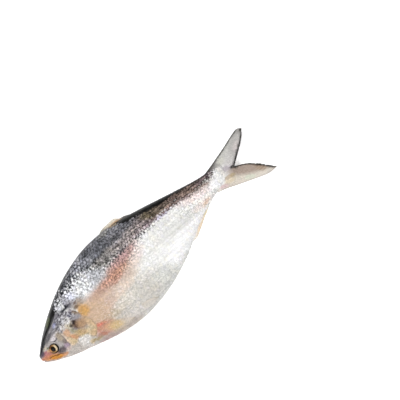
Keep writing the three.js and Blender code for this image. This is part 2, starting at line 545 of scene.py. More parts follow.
def zone(name: str, middle: Pair, reach: Pair, turn: float, strength: float, softness: float) -> Patch:
    """Makes a patch that only says where something shows, so that its colour isn't used."""
    return Patch(name, middle, reach, turn, "#000000", strength, softness)


@dataclass(frozen=True)
class Stroke:
    """A soft line of colour along a smooth path that runs along the fish, or across it if upright."""

    name: str
    path: Path
    width: float
    colour: str
    strength: float = 1.0
    upright: bool = False


class Finish(ABC):
    """The finish of one or more pieces, which share its material."""

    name: str

    @abstractmethod
    def make(self) -> bpy.types.Material:
        """Builds the material."""

    def material(self) -> bpy.types.Material:
        """The finish's one material, built when it is first asked for."""
        return bpy.data.materials.get(self.name) or self.make()


Socket = bpy.types.NodeSocket
Value = Socket | float
Colour = Socket | str


class Palette:
    """A material in the making: short names for the shader nodes that the finishes are built of.

    Borders are drawn on a chart as long as the fish and chart_depth millimetres deep.
    """

    chart_depth: float = 160.0

    def __init__(self, name: str) -> None:
        """Starts an empty material.

        Args:
            name: The material's name.
        """
        self.material = bpy.data.materials.new(name)
        self.material.use_nodes = True
        self.tree = self.material.node_tree
        self.tree.nodes.clear()

    def node(
        self, kind: str, inputs: dict[int | str, object] | None = None, **settings: object
    ) -> bpy.types.Node:
        """Adds a node.

        Args:
            kind: The node's type, without its ShaderNode prefix.
            inputs: Sockets to link or numbers to set, by the input's name or place.
            **settings: The node's own options.

        Returns:
            The node.
        """
        made = self.tree.nodes.new("ShaderNode" + kind)
        for key, option in settings.items():
            setattr(made, key, option)
        for key, value in (inputs or {}).items():
            if isinstance(value, bpy.types.NodeSocket):
                self.tree.links.new(value, made.inputs[key])
            else:
                made.inputs[key].default_value = value
        return made

    def sum(self, operation: str, *values: Value, clamp: bool = False) -> Socket:
        """Does one step of arithmetic on sockets or numbers."""
        inputs = dict(enumerate(values))
        return self.node("Math", inputs, operation=operation, use_clamp=clamp).outputs[0]

    def plus(self, one: Value, other: Value) -> Socket:
        """Adds two values."""
        return self.sum("ADD", one, other)

    def minus(self, one: Value, other: Value) -> Socket:
        """Takes the second value from the first."""
        return self.sum("SUBTRACT", one, other)

    def times(self, one: Value, other: Value) -> Socket:
        """Multiplies two values."""
        return self.sum("MULTIPLY", one, other)

    def scaled(self, value: Value, factor: Value, offset: Value) -> Socket:
        """Multiplies a value by a factor and adds an offset."""
        return self.sum("MULTIPLY_ADD", value, factor, offset)

    def larger(self, one: Value, other: Value) -> Socket:
        """The larger of two values."""
        return self.sum("MAXIMUM", one, other)

    def ease(self, value: Value, low: float, high: float, bottom: float = 0.0, top: float = 1.0) -> Socket:
        """Eases from bottom, where a value is low, to top, where it is high."""
        inputs = {"Value": value, "From Min": low, "From Max": high, "To Min": bottom, "To Max": top}
        return self.node("MapRange", inputs, interpolation_type="SMOOTHSTEP").outputs[0]

    def colour(self, value: Colour) -> Socket | tuple[float, ...]:
        """Takes a hex colour or a socket for a node's input."""
        return tint(value) if isinstance(value, str) else value

    def mix(self, share: Value, under: Colour, over: Colour, blend: str = "MIX") -> Socket:
        """Lays one colour over another.

        Args:
            share: How much of the upper colour shows.
            under: The lower colour.
            over: The upper colour.
            blend: The way they combine.

        Returns:
            The mixed colour.
        """
        inputs = {0: share, 6: self.colour(under), 7: self.colour(over)}
        made = self.node("Mix", inputs, data_type="RGBA", blend_type=blend)
        return made.outputs[2]

    def shade(self, colour: Colour, factor: Value) -> Socket:
        """Makes a colour lighter or darker by a factor."""
        grey = self.node("CombineColor", {0: factor, 1: factor, 2: factor}).outputs[0]
        return self.mix(1.0, colour, grey, "MULTIPLY")

    def noise(self, where: Socket, scale: float, detail: float = 2.0, roughness: float = 0.5) -> Socket:
        """Even noise over a place, from 0 to 1, with its scale in cycles a millimetre."""
        inputs = {"Vector": where, "Scale": scale, "Detail": detail, "Roughness": roughness}
        return self.node("TexNoise", inputs).outputs["Fac"]

    def split(self, where: Socket) -> tuple[Socket, Socket]:
        """A place's first and second coordinate."""
        made = self.node("SeparateXYZ", {0: where})
        return made.outputs[0], made.outputs[1]

    def place(self) -> Socket:
        """Fish coordinates of the shaded point, with 0 for w."""
        here = self.node("TexCoord").outputs["Object"]
        flat = (1 / MM, 1 / MM, 0.0)
        start = (FORM.length / 2, -FORM.axis_above_middle, 0.0)
        made = self.node("VectorMath", {0: here, 1: flat, 2: start}, operation="MULTIPLY_ADD")
        return made.outputs[0]

    def solid_place(self) -> Socket:
        """The shaded point in millimetres, in all three directions."""
        here = self.node("TexCoord").outputs["Object"]
        return self.node("VectorMath", {0: here, 1: (1 / MM,) * 3}, operation="MULTIPLY").outputs[0]

    def stray(self, where: Socket, amount: float, scale: float) -> Socket:
        """Moves a place about at random, so that what is painted by it gets uneven edges.

        Args:
            where: The place.
            amount: How far it moves at most, each way, in millimetres.
            scale: Cycles of the wandering a millimetre.

        Returns:
            The moved place.
        """
        wander = self.node("TexNoise", {"Vector": where, "Scale": scale, "Detail": 2.0}).outputs["Color"]
        centred = self.node("VectorMath", {0: wander, 1: (0.5, 0.5, 0.5)}, operation="SUBTRACT").outputs[0]
        size = (2 * amount, 2 * amount, 0.0)
        made = self.node("VectorMath", {0: centred, 1: size, 2: where}, operation="MULTIPLY_ADD")
        return made.outputs[0]

    def spot(self, where: Socket, patch: Patch) -> Socket:
        """Finds how much of a patch shows.

        Args:
            where: The place.
            patch: The patch.

        Returns:
            The share, from 0 to the patch's strength.
        """
        inputs = {
            "Vector": where,
            "Location": (*patch.middle, 0.0),
            "Rotation": (0.0, 0.0, math.radians(patch.turn)),
            "Scale": (*patch.reach, 1.0),
        }
        local = self.node("Mapping", inputs, vector_type="TEXTURE").outputs[0]
        off = self.node("VectorMath", {0: local}, operation="LENGTH").outputs["Value"]
        return self.ease(off, 1 + patch.softness / 2, 1 - patch.softness / 2, 0.0, patch.strength)

    def graph(self, value: Socket, points: Sequence[Pair]) -> Socket:
        """Reads a value off a smooth graph.

        Args:
            value: How far along the graph, from 0 to 1.
            points: The points that it passes through, between 0 and 1 both ways.

        Returns:
            The graph's height there.
        """
        made = self.node("FloatCurve", {1: value})
        curve = made.mapping.curves[0]
        for k, point in enumerate(points):
            if k < 2:
                curve.points[k].location = point
            else:
                curve.points.new(*point)
        made.mapping.update()
        return made.outputs[0]

    def beyond(self, where: Socket, border: Path, softness: float) -> Socket:
        """Finds how far a place is beyond a border that runs along the fish.

        Args:
            where: The place.
            border: Points of the border.
            softness: Width over which it eases, in millimetres.

        Returns:
            0 on the belly's side to 1 on the back's.
        """
        depth = self.chart_depth
        s_here, t_here = self.split(where)
        along = self.sum("DIVIDE", s_here, FORM.length)
        line = self.graph(along, [(s / FORM.length, t / depth + 0.5) for s, t in border])
        across = self.scaled(t_here, 1 / depth, 0.5)
        return self.ease(self.minus(across, line), -softness / 2 / depth, softness / 2 / depth)

    def line(self, where: Socket, stroke: Stroke) -> Socket:
        """Finds how much of a stroke shows.

        Args:
            where: The place.
            stroke: The stroke.

        Returns:
            The share, from 0 to the stroke's strength.
        """
        parts = self.split(where)
        run, off = (1, 0) if stroke.upright else (0, 1)
        points = sorted((point[run], point[off]) for point in stroke.path)
        first, span = points[0][0], points[-1][0] - points[0][0]
        low = min(point[1] for point in points) - 1.0
        high = max(point[1] for point in points) + 1.0
        along = self.scaled(parts[run], 1 / span, -first / span)
        bend = self.graph(along, [((a - first) / span, (b - low) / (high - low)) for a, b in points])
        middle = self.scaled(bend, high - low, low)
        gap = self.sum("ABSOLUTE", self.minus(parts[off], middle))
        inside = self.ease(gap, 0.75 * stroke.width, 0.2 * stroke.width, 0.0, stroke.strength)
        ends = self.times(self.ease(along, -0.06, 0.08), self.ease(along, 1.06, 0.92))
        return self.times(inside, ends)

    def lay_strokes(self, where: Socket, base: Colour, strokes: Sequence[Stroke]) -> Socket:
        """Draws strokes one over another."""
        colour = base
        for stroke in strokes:
            colour = self.mix(self.line(where, stroke), colour, stroke.colour)
        return colour

    def streaks(self, where: Socket, scale: Pair, turn: float, detail: float = 3.0) -> Socket:
        """Noise that is drawn out in one direction.

        Args:
            where: The place.
            scale: Cycles a millimetre along and across the direction.
            turn: The direction, in degrees from the fish's length towards its back.
            detail: How many finer layers it has.

        Returns:
            The noise, from 0 to 1.
        """
        inputs = {"Vector": where, "Rotation": (0.0, 0.0, math.radians(turn))}
        turned = self.node("Mapping", inputs, vector_type="TEXTURE").outputs[0]
        drawn = self.node("VectorMath", {0: turned, 1: (*scale, 0.0)}, operation="MULTIPLY").outputs[0]
        return self.noise(drawn, 1.0, detail, 0.6)

    def lay_patches(self, where: Socket, base: Colour, patches: Sequence[Patch]) -> Socket:
        """Paints patches one over another."""
        colour = base
        for patch in patches:
            colour = self.mix(self.spot(where, patch), colour, patch.colour)
        return colour

    def bump(self, height: Socket, depth: float, under: Socket | None = None) -> Socket:
        """Turns heights into a dented surface.

        Args:
            height: Heights from 0 to 1.
            depth: What 1 is worth, in millimetres.
            under: A dented surface that this one lies on.

        Returns:
            The surface's directions.
        """
        inputs: dict[int | str, object] = {"Height": height, "Distance": depth * MM, "Strength": 1.0}
        if under is not None:
            inputs["Normal"] = under
        return self.node("Bump", inputs).outputs[0]

    def close(self, **sockets: object) -> bpy.types.Material:
        """Ends the material in one coated surface.

        Args:
            **sockets: Inputs of the surface, with underlines for the spaces in their names.

        Returns:
            The finished material.
        """
        inputs = {key.replace("_", " "): value for key, value in sockets.items()}
        surface = self.node("BsdfPrincipled", inputs)
        self.node("OutputMaterial", {"Surface": surface.outputs[0]})
        return self.material


@dataclass(frozen=True)
class FishPaint:
    """The colours of the trunk, zone by zone, shared by every skin finish."""

    belly: str = "#e8e8e5"
    flank_patches: tuple[Patch, ...] = (
        Patch("fore belly", (108, -30), (96, 30), -3, "#cbc7bf", 1, 0.5),
        Patch("rear belly", (264.5, -20.5), (57.5, 12.5), 16, "#f8f8f7", 1),
        Patch("tan flank", (130, -2.5), (57.5, 16.5), 6, "#cab4a4", 1, 0.8),
        Patch("rosy upper edge", (112, 13), (12.5, 7), -4, "#bda7a0", 0.8),
        Patch("rosy mid flank", (115, -12), (12.5, 8), 0, "#cfb6ad", 0.8),
        Patch("tan lower flank", (112, -26), (24.5, 6.5), -6, "#c3b096", 0.6),
        Patch("grey green foot", (113.5, -27.5), (11, 4.5), 0, "#b5aa96", 0.8),
        Patch("warm fore flank", (101, -9.5), (22, 22), 0, "#c8ac92", 0.9, 0.9),
        Patch("fore keel", (119, -46.5), (24.5, 8), -8, "#c4b4a6", 0.8),
        Patch("salmon band", (156, 13), (38.5, 10.5), 7, "#bd9886", 0.95),
        Patch("salmon core", (156, 14), (23.5, 6), 7, "#bb8b76", 0.6),
        Patch("salmon foot of band", (154.5, 4.5), (12.5, 4.5), 8, "#bd907d", 0.6),
        Patch("mauve end", (182, 21.5), (26, 7.5), 5, "#b3928e", 0.9),
        Patch("pale rear band", (194.5, 9.5), (16.5, 7), 16, "#e0cfc8", 0.6),
        Patch("cream flecks", (141, -24.5), (16.5, 7), 0, "#ddd6c9", 0.6),
        Patch("pale lower belly", (146.5, -46.5), (30, 8), -3, "#dcd8d3", 0.7),
        Patch("pale mid flank", (154.5, -9), (16.5, 7), 0, "#dccdbf", 0.7),
        Patch("salmon foot", (96, -33), (15, 9), -30, "#c67f66", 0.9),
        Patch("red patch", (92.5, -24.5), (4.5, 2.9), -16, "#d87c6a", 0.8),
        Patch("brown foot", (86, -37), (7, 3.3), -15, "#b47a66", 0.7),
        Patch("peach foot", (98.5, -34.5), (5.5, 4), 0, "#d6a27c", 0.7),
        Patch("mauve keel", (91.5, -48), (16.5, 5), -20, "#b39b95", 0.9),
        Patch("yellow fin", (109, -42), (10.5, 7.5), -36, "#d0b276", 0.9),
        Patch("lower edge", (119, -52), (22, 4.5), -12, "#c3b6ad", 0.6, 0.9),
        Patch("olive foot", (77, -36.5), (6, 2.7), -28, "#a8936a", 0.8),
        Patch("grey belly", (204, -35.5), (19, 11), -10, "#cfd0ca", 0.7),
        # Painted light: whitens the lower edge of the rear belly, which turns away from the lamps.
        Patch("painted light keel", (258, -26.5), (34.5, 7), 17, "#ffffff", 0.95),
        Patch("grey flank rows", (270, -5.5), (33, 5.5), -4, "#dad9d5", 0.7, 0.9),
        Patch("grey row above", (273, 2), (33, 1.6), -2, "#cdcdc9", 0.7, 0.9),
        Patch("grey row below", (271.5, -4.5), (30, 1.8), -3, "#cacbc6", 0.7, 0.9),
        Patch("pink sheen", (308.5, 9.5), (24.5, 5.5), -14, "#efdedb", 0.8),
        Patch("rose rim", (314, 14.5), (27.5, 3.6), -14, "#cdbbb7", 0.7),
        Patch("peduncle rose", (308.5, -4), (16.5, 5.5), -4, "#efdfd9", 0.7),
        Patch("white tail root", (346, 4), (13.5, 9), 0, "#ffffff", 0.65),
        Patch("vent dab", (313, -7), (7, 2.5), 12, "#e4c3a4", 0.6),
        Patch("lilac sheen", (256.5, 23.5), (12.5, 2.5), -4, "#d8d2f0", 0.6),
        Patch("grey shoulder", (127.5, 30), (23.5, 13.5), -14, "#b5b6bb", 1, 0.9),
        # White over the shoulder: the silver of the scales with painted glare from the lamp.
        Patch("white shoulder glare", (102.5, 30), (24.5, 13.5), -8, "#dcdddf", 1, 0.9),
        Patch("nape white", (69, 34.5), (9, 7), 25, "#c9cacd", 1, 0.8),
        Patch("nape lilac", (89, 29), (7, 7), 0, "#ccd0e4", 0.5),
        Patch("dusky seam", (91.5, 18), (11, 5.5), -10, "#97897f", 0.85),
        Patch("nape seam", (80.5, 34.5), (4.5, 12.5), 0, "#a0a0a6", 0.9, 0.9),
        Patch("seam shade", (81, 24.5), (8, 4.5), 0, "#918d92", 0.85),
        Patch("nape streak", (73, 25.5), (9, 2.1), -4, "#333339", 1, 0.9),
        Patch("gold patch", (90.5, 6), (8, 9), -8, "#c39a66", 1),
        Patch("gold core", (90, 2.5), (4.5, 4), 0, "#d0a463", 0.5),
        Patch("pink seam", (84.5, -3.5), (3, 3.6), 0, "#d99a84", 0.8),
        Patch("brown over gold", (87, 15), (4, 1.9), -12, "#57402c", 0.75),
        Patch("brown fleck", (88, 20.5), (2.6, 1.2), 10, "#5c473e", 0.8, 0.9),
        Patch("dark seam spot", (81, 14.5), (1.9, 1.9), 0, "#2f2824", 0.9),
    )
    slate: str = "#55565b"
    slate_patches: tuple[Patch, ...] = (
        Patch("slate fore", (87.5, 48), (24.5, 11), 20, "#46474c", 1, 0.9),
        Patch("slate high", (128.5, 52), (24.5, 13.5), 8, "#6e6f74", 0.9),
        Patch("slate mid", (167, 57.5), (27.5, 13.5), 2, "#5a5b60", 0.85),
        Patch("grey mid", (163, 34.5), (41, 8), 1, "#767370", 0.85),
        Patch("mauve low back", (207, 34.5), (33, 9), -5, "#867e7c", 0.9),
        Patch("brown back", (295, 24.5), (63, 15), -14, "#64564f", 1, 0.9),
        Patch("olive back", (248, 37), (14.5, 6), -14, "#5c543a", 0.7),
        Patch("pale mid back", (193, 49.5), (19, 11), 0, "#67676b", 0.8),
        Patch("pale fin foot", (182, 62), (11, 3.6), 0, "#6c6b69", 0.8),
        Patch("tan fin foot", (200.5, 61.5), (12.5, 2.2), -14, "#a48f70", 0.85, 0.8),
        Patch("plum back", (260.5, 34.5), (18, 4.5), -14, "#6c6158", 0.7),
        Patch("plum border", (253.5, 23.5), (46.5, 4.5), -8, "#6f5b60", 0.55),
        Patch("plum tail root", (335, 20), (15, 6), -4, "#544a4e", 0.8),
    )
    back_border: Path = (
        (51.5, 27.5), (64, 34), (75, 38.5), (86, 40), (102.5, 41.5), (116.5, 43), (128.5, 44),
        (137, 38.5), (152, 27), (168.5, 25.5), (185, 26), (196, 26), (212.5, 25.5), (229, 24),
        (251, 24), (267.5, 23), (284, 19), (300.5, 16), (317, 13.5), (330.5, 11.5), (341.5, 13.5),
        (350, 18), (363.5, 24),
    )
    back_softness: float = 26.0
    ridge_border: Path = (
        (60, 39.5), (86, 51.5), (111, 58.5), (135.5, 62.5), (152, 65.5), (176.5, 67), (196, 67),
        (204, 59), (211, 53.5), (230.5, 46), (251, 39.5), (271.5, 34.5), (292, 31), (308.5, 27.5),
        (326.5, 23), (341.5, 21.5), (352.5, 26),
    )
    ridge: str = "#060606"
    ridge_streak: str = "#4e4b46"
    lined: Patch = zone("lined rear back", (278.5, 27.5), (80, 15), -14, 1, 0.8)
    even: Patch = zone("even mid back", (176.5, 41), (52, 26), 0, 0.55, 1.0)
    quiet: Patch = zone("quiet rear", (289.5, 23.5), (75, 24), -13, 0.6, 0.8)
    speckled: Patch = zone("speckled nape", (72.5, 34.5), (28, 17), 14, 0.8, 0.9)

    def flank(self, p: Palette, where: Socket, ragged: Socket, grain: Value = 0.5) -> Socket:
        """Paints the trunk.

        Args:
            p: The material in the making.
            where: The place to paint by.
            ragged: The same place, strayed, for uneven borders.
            grain: Grain from 0, dark, to 1, light, that breaks the back's colour up; it holds painted pocket
                shade and painted glints.

        Returns:
            The trunk's colour.
        """
        rows = p.streaks(where, (0.018, 0.26), -3.0)
        pale = p.lay_patches(ragged, self.belly, self.flank_patches)
        pale = p.shade(pale, p.ease(rows, 0.36, 0.62, 0.9, 1.035))
        mottle = p.noise(where, 0.17, 3.0, 0.65)
        pale = p.shade(pale, p.ease(mottle, 0.36, 0.64, 0.92, 1.05))
        dark = p.lay_patches(ragged, self.slate, self.slate_patches)
        drawn = p.streaks(where, (0.08, 0.42), -14.0)
        lines = p.scaled(drawn, 1.3, -0.65)
        lines = p.times(lines, p.spot(where, self.lined))
        calm = p.larger(p.spot(where, self.even), p.spot(where, self.quiet))
        grain = p.node("Mix", {0: calm, 2: grain, 3: 0.5}).outputs[0]
        # On the dark back the grain's light end is painted glints, and its dark end is painted pocket shade.
        broken = p.ease(grain, 0.2, 0.8, 0.3, 2.1)
        tone = p.times(broken, p.ease(rows, 0.35, 0.65, 0.65, 1.4))
        dark = p.shade(dark, p.times(tone, p.scaled(lines, 4.0, 1.0)))
        share = p.beyond(ragged, self.back_border, self.back_softness)
        near = p.larger(p.ease(share, 0.0, 0.3), p.spot(where, self.speckled))
        loose = p.times(p.minus(0.5, grain), near)
        share = p.plus(p.scaled(loose, 0.85, share), lines)
        body = p.mix(p.ease(share, 0.25, 0.75), pale, dark)
        high = p.beyond(where, self.ridge_border, 12.0)
        high = p.scaled(loose, 0.9, high)
        high = p.plus(high, lines)
        top = p.mix(p.ease(drawn, 0.5, 0.68, 0.0, 0.4), self.ridge, self.ridge_streak)
        return p.mix(p.ease(high, 0.3, 0.7), body, top)


@dataclass(frozen=True)
class HeadPaint:
    """The colours of the head."""

    base: str = "#a09a98"
    patches: tuple[Patch, ...] = (
        Patch("silver cheek", (61.5, 12.5), (27.5, 18), -12, "#939096", 0.9),
        Patch("grey temple", (54.5, 18.5), (18, 6), 14, "#7f7c80", 0.95, 0.9),
        Patch("pale throat", (50.5, -31.5), (41, 11), -24, "#c4bcb5", 1, 0.7),
        Patch("salmon throat", (83.5, -40), (13, 6.5), -22, "#c0a292", 0.85, 0.8),
        Patch("red throat", (86, -38), (7, 2.7), -15, "#b56f5c", 0.7),
        Patch("mauve throat", (86, -45.5), (12.5, 4.5), -22, "#b09896", 0.9, 0.9),
        Patch("pink nose", (10.5, -1.5), (6, 3.3), -15, "#a96f70", 1, 0.9),
        Patch("cream bridge", (14.5, 4), (3.6, 1.6), 25, "#b8ad9c", 0.8, 0.8),
        Patch("peach upper jaw", (9, -6.5), (9, 3.3), -14, "#ba7b62", 1, 0.8),
        Patch("nose tip", (6.5, 1.5), (5, 3.8), 35, "#4c4551", 0.95, 0.9),
        Patch("peach behind", (18.5, -7), (7, 3), -22, "#b57264", 0.9, 0.9),
        Patch("peach under eye", (22, -10), (6.5, 1.9), -28, "#bf8f78", 0.8),
        Patch("orange lower jaw", (20, -15), (12.5, 4), -28, "#cb883c", 1, 0.7),
        Patch("bright jaw", (23, -16), (6, 2.2), -28, "#cf9049", 0.9, 0.9),
        Patch("jaw end", (30.5, -20), (4.5, 2.2), -25, "#d39c78", 0.8, 0.9),
        Patch("peach lip", (8, -10), (4.5, 2.5), -36, "#cf9468", 0.9),
        Patch("green corner", (18, 2), (1.9, 1.4), 0, "#5a5e38", 0.85, 0.9),
        Patch("cream orbit", (17, -2), (1.9, 2.2), 0, "#c09a72", 0.85, 0.9),
        Patch("silver brow", (34.5, 6.5), (6.5, 3), 8, "#c6bfc2", 0.9, 0.9),
        Patch("dark brow", (29, 11.5), (9, 2.6), 22, "#59575b", 0.9, 0.9),
        Patch("warm cheek", (41.5, 2), (5, 8), -8, "#9a8a72", 0.75),
        Patch("dark lower cheek", (31, -12.5), (6.5, 3.4), -14, "#382f35", 0.95, 0.9),
        Patch("pale jaw joint", (33, -16), (2.2, 1.4), -20, "#a39c98", 0.5),
        Patch("shade under eye", (32.5, -14.5), (5, 3.4), -16, "#6a6062", 0.85),
        Patch("mauve cheek", (41, -13.5), (4, 4), -10, "#a08b9c", 0.85),
        Patch("dusky cheek", (43, -8), (4, 4), 20, "#70625b", 0.85),
        Patch("pink cheek foot", (39.5, -18.5), (4.5, 2.3), -10, "#c0aaa4", 0.7),
        Patch("peach plate", (52.5, -1.5), (5, 6.5), 0, "#c7a080", 0.9, 0.9),
        Patch("pale bar", (47.5, -11), (2.3, 8), 0, "#dcc2aa", 0.85, 0.9),
        Patch("pale plate top", (53, 8), (4, 4.5), 0, "#c8c1ba", 0.85),
        Patch("cream plate top", (62.5, 4.5), (6, 6.5), 0, "#cfc2a8", 0.9),
        Patch("pale slant", (53, -13.5), (6.5, 7.5), -42, "#cfb893", 0.9, 0.9),
        Patch("orange slant", (57, -12.5), (7.5, 2.6), -50, "#b98564", 0.85),
        Patch("green slant", (61.5, -7.5), (2.5, 7), 25, "#9c9678", 0.8),
        Patch("grey green", (64.5, 2), (2.7, 3.6), 10, "#8a8270", 0.7, 0.9),
        Patch("silver cover", (64, 11), (5, 5), 0, "#cfcccb", 0.9),
        Patch("blue glint", (47, 18.5), (4, 2.1), 25, "#9698c0", 0.7),
        Patch("brown ground", (70, -2), (6.5, 7.5), 10, "#604a3c", 0.9),
        Patch("dark brown spot", (70, 2), (2.9, 3), 20, "#281c1a", 1, 0.9),
        Patch("dark brown left", (63, 1.5), (2.2, 1.6), 30, "#302b28", 0.85, 0.9),
        Patch("dark brown drop", (69, -3.5), (2.3, 3), 20, "#46322c", 0.9, 0.9),
        Patch("tan cover", (78.5, -6), (8.5, 7), -20, "#a88868", 0.9),
        Patch("tan rim", (86.5, -15), (5, 12.5), 0, "#c9ac8a", 0.95),
        Patch("gold rim", (87, 5.5), (3.6, 8), -6, "#c39a68", 0.9),
        Patch("olive spot", (67, -20), (4.5, 2.7), -24, "#b3a24c", 0.85),
        Patch("olive trail", (66, -12.5), (2.3, 3.8), -30, "#9c9468", 0.8, 0.9),
        Patch("pale cover", (78, -22), (8, 7), 20, "#c9b99a", 0.9, 0.9),
        Patch("cream cover", (82, -27.5), (7.5, 5.5), -30, "#caae8a", 0.9),
        Patch("cover gold", (67.5, -15), (9, 5.5), -20, "#bfa176", 0.8),
        Patch("brown cover top", (82.5, 13.5), (5.5, 7), 10, "#8e7a64", 0.85),
        Patch("dusky cover top", (80, 20.5), (7, 6), 0, "#918890", 0.9),
        Patch("blue spot", (72.5, 14), (3.2, 2.6), 10, "#38384c", 0.9, 0.9),
        Patch("silver cover foot", (64, -28), (9.5, 8), -42, "#d6d1cc", 1, 0.8),
        Patch("yellow foot", (70, -33.5), (4, 3), 0, "#cbb68e", 0.8, 0.9),
        Patch("foot shade", (77, -36.5), (6.5, 2.7), -28, "#a18f68", 0.8),
        Patch("dark nape streak", (69.5, 25.5), (11, 2.3), -4, "#38383e", 0.95, 0.8),
        Patch("nape light", (65, 32), (5, 3.6), 25, "#c2c2c6", 0.9, 0.9),
        Patch("nape dusk", (56.5, 23), (6.5, 7), 0, "#737178", 0.75),
    )
    crown_border: Path = (
        (1, 1), (6.5, 2.5), (12, 5), (16, 6.5), (20, 8.5), (24, 12), (31, 15.5), (38, 18.5),
        (45, 21.5), (51.5, 24.5), (58.5, 29), (64, 36.5),
    )
    crown: str = "#454547"
    crown_patches: tuple[Patch, ...] = (
        Patch("olive crown", (43, 26.5), (8, 3.2), 32, "#484e38", 0.9, 0.9),
        Patch("nose crown", (10.5, 7), (8, 3.8), 40, "#38363d", 0.95, 0.9),
        Patch("dark nape", (58, 33.5), (9, 7), 35, "#1a1a19", 0.95, 0.8),
    )
    strokes: tuple[Stroke, ...] = (
        Stroke(
            "crown line",
            (
                (2, 2), (7.5, 5), (13, 7.5), (18.5, 11.5), (24, 15), (31, 18.5), (36.5, 20.5),
                (43.5, 24), (49, 27.5), (54.5, 31), (60, 35.5),
            ),
            3, "#0f0f10", 0.9,
        ),
        Stroke("brow shade", ((23, 8), (28.5, 11), (35, 13.5)), 1.5, "#626166", 0.7),
        Stroke("nape line", ((60, 24), (69.5, 24), (79, 25)), 1.5, "#202024", 0.85),
        Stroke(
            "mouth line", ((10, -10), (13, -10.5), (17.5, -12), (20, -13.5), (25.5, -16), (31, -19)),
            1.1, "#4a2a1e", 0.9,
        ),
        Stroke("eye arc", ((28.5, 5.5), (30, 3.5), (32.5, 2), (35.5, 2.5), (38, 4.5)), 1.4, "#403e46", 0.9),
        Stroke(
            "cheek edge shade", ((44.5, 5.5), (44.5, -1.5), (44.5, -8), (44, -16.5)),
            1.3, "#6c635e", 0.45, True,
        ),
        Stroke(
            "cheek edge", ((46, 4), (47, -4), (47, -11), (46, -16.5), (45, -20.5)),
            2.4, "#d3c0aa", 0.5, True,
        ),
        Stroke("preopercle seam", ((48.5, 18), (49, 11), (48, 4)), 1.1, "#6a6a70", 0.75, True),
        Stroke("fleck seam", ((53.5, 16), (54, 13), (54.5, 10.5)), 1.2, "#38373d", 0.85, True),
        Stroke(
            "lower cover edge", ((72.5, -38), (78, -32.5), (83.5, -28), (87.5, -23.5), (89, -16.5)),
            1.5, "#a68c6c", 0.6, True,
        ),
        Stroke("gill dashes", ((89.5, -9.5), (89.5, -13.5), (89, -19)), 1.2, "#7c6650", 0.5, True),
        Stroke("cover spots", ((80.5, 17), (81.5, 13.5), (82, 10.5)), 1.6, "#3a2e2c", 0.8, True),
    )
    streaked: Patch = zone("streaked cheek", (62, 14), (20, 10), 8, 1.0, 0.8)
    sparkling: Patch = zone("sparkling foot", (63.5, -25), (9, 6.5), -40, 1.0, 0.8)

    def head(self, p: Palette, where: Socket, ragged: Socket) -> Socket:
        """Paints the head.

        Args:
            p: The material in the making.
            where: The place to paint by.
            ragged: The same place, strayed, for uneven borders.

        Returns:
            The head's colour.
        """
        side = p.lay_patches(ragged, self.base, self.patches)
        side = self._streaks(p, where, side)
        top = p.lay_patches(ragged, self.crown, self.crown_patches)
        frayed = p.stray(where, 0.5, 0.5)
        colour = p.mix(p.beyond(frayed, self.crown_border, 1.6), side, top)
        return p.lay_strokes(frayed, colour, self.strokes)

    def _streaks(self, p: Palette, where: Socket, under: Socket) -> Socket:
        """Draws silver and dark streaks over the cheek, and painted white glints over the cover's foot.

        Args:
            p: The material in the making.
            where: The place to paint by.
            under: The colour that they are drawn on.

        Returns:
            The colour with them on it.
        """
        cheek = p.spot(where, self.streaked)
        drawn = p.streaks(where, (0.24, 0.42), 8.0)
        light = p.times(p.ease(drawn, 0.51, 0.62), p.times(cheek, 0.7))
        dark = p.times(p.ease(drawn, 0.48, 0.38), p.times(cheek, 0.85))
        colour = p.mix(dark, p.mix(light, under, "#dcdbe0"), "#37353b")
        grain = p.noise(p.solid_place(), 0.55, 2.0, 0.6)
        # Painted glints: white flecks over the cover's foot.
        painted_glint = p.times(p.ease(grain, 0.54, 0.64), p.spot(where, self.sparkling))
        return p.mix(p.times(painted_glint, 0.75), colour, "#ffffff")


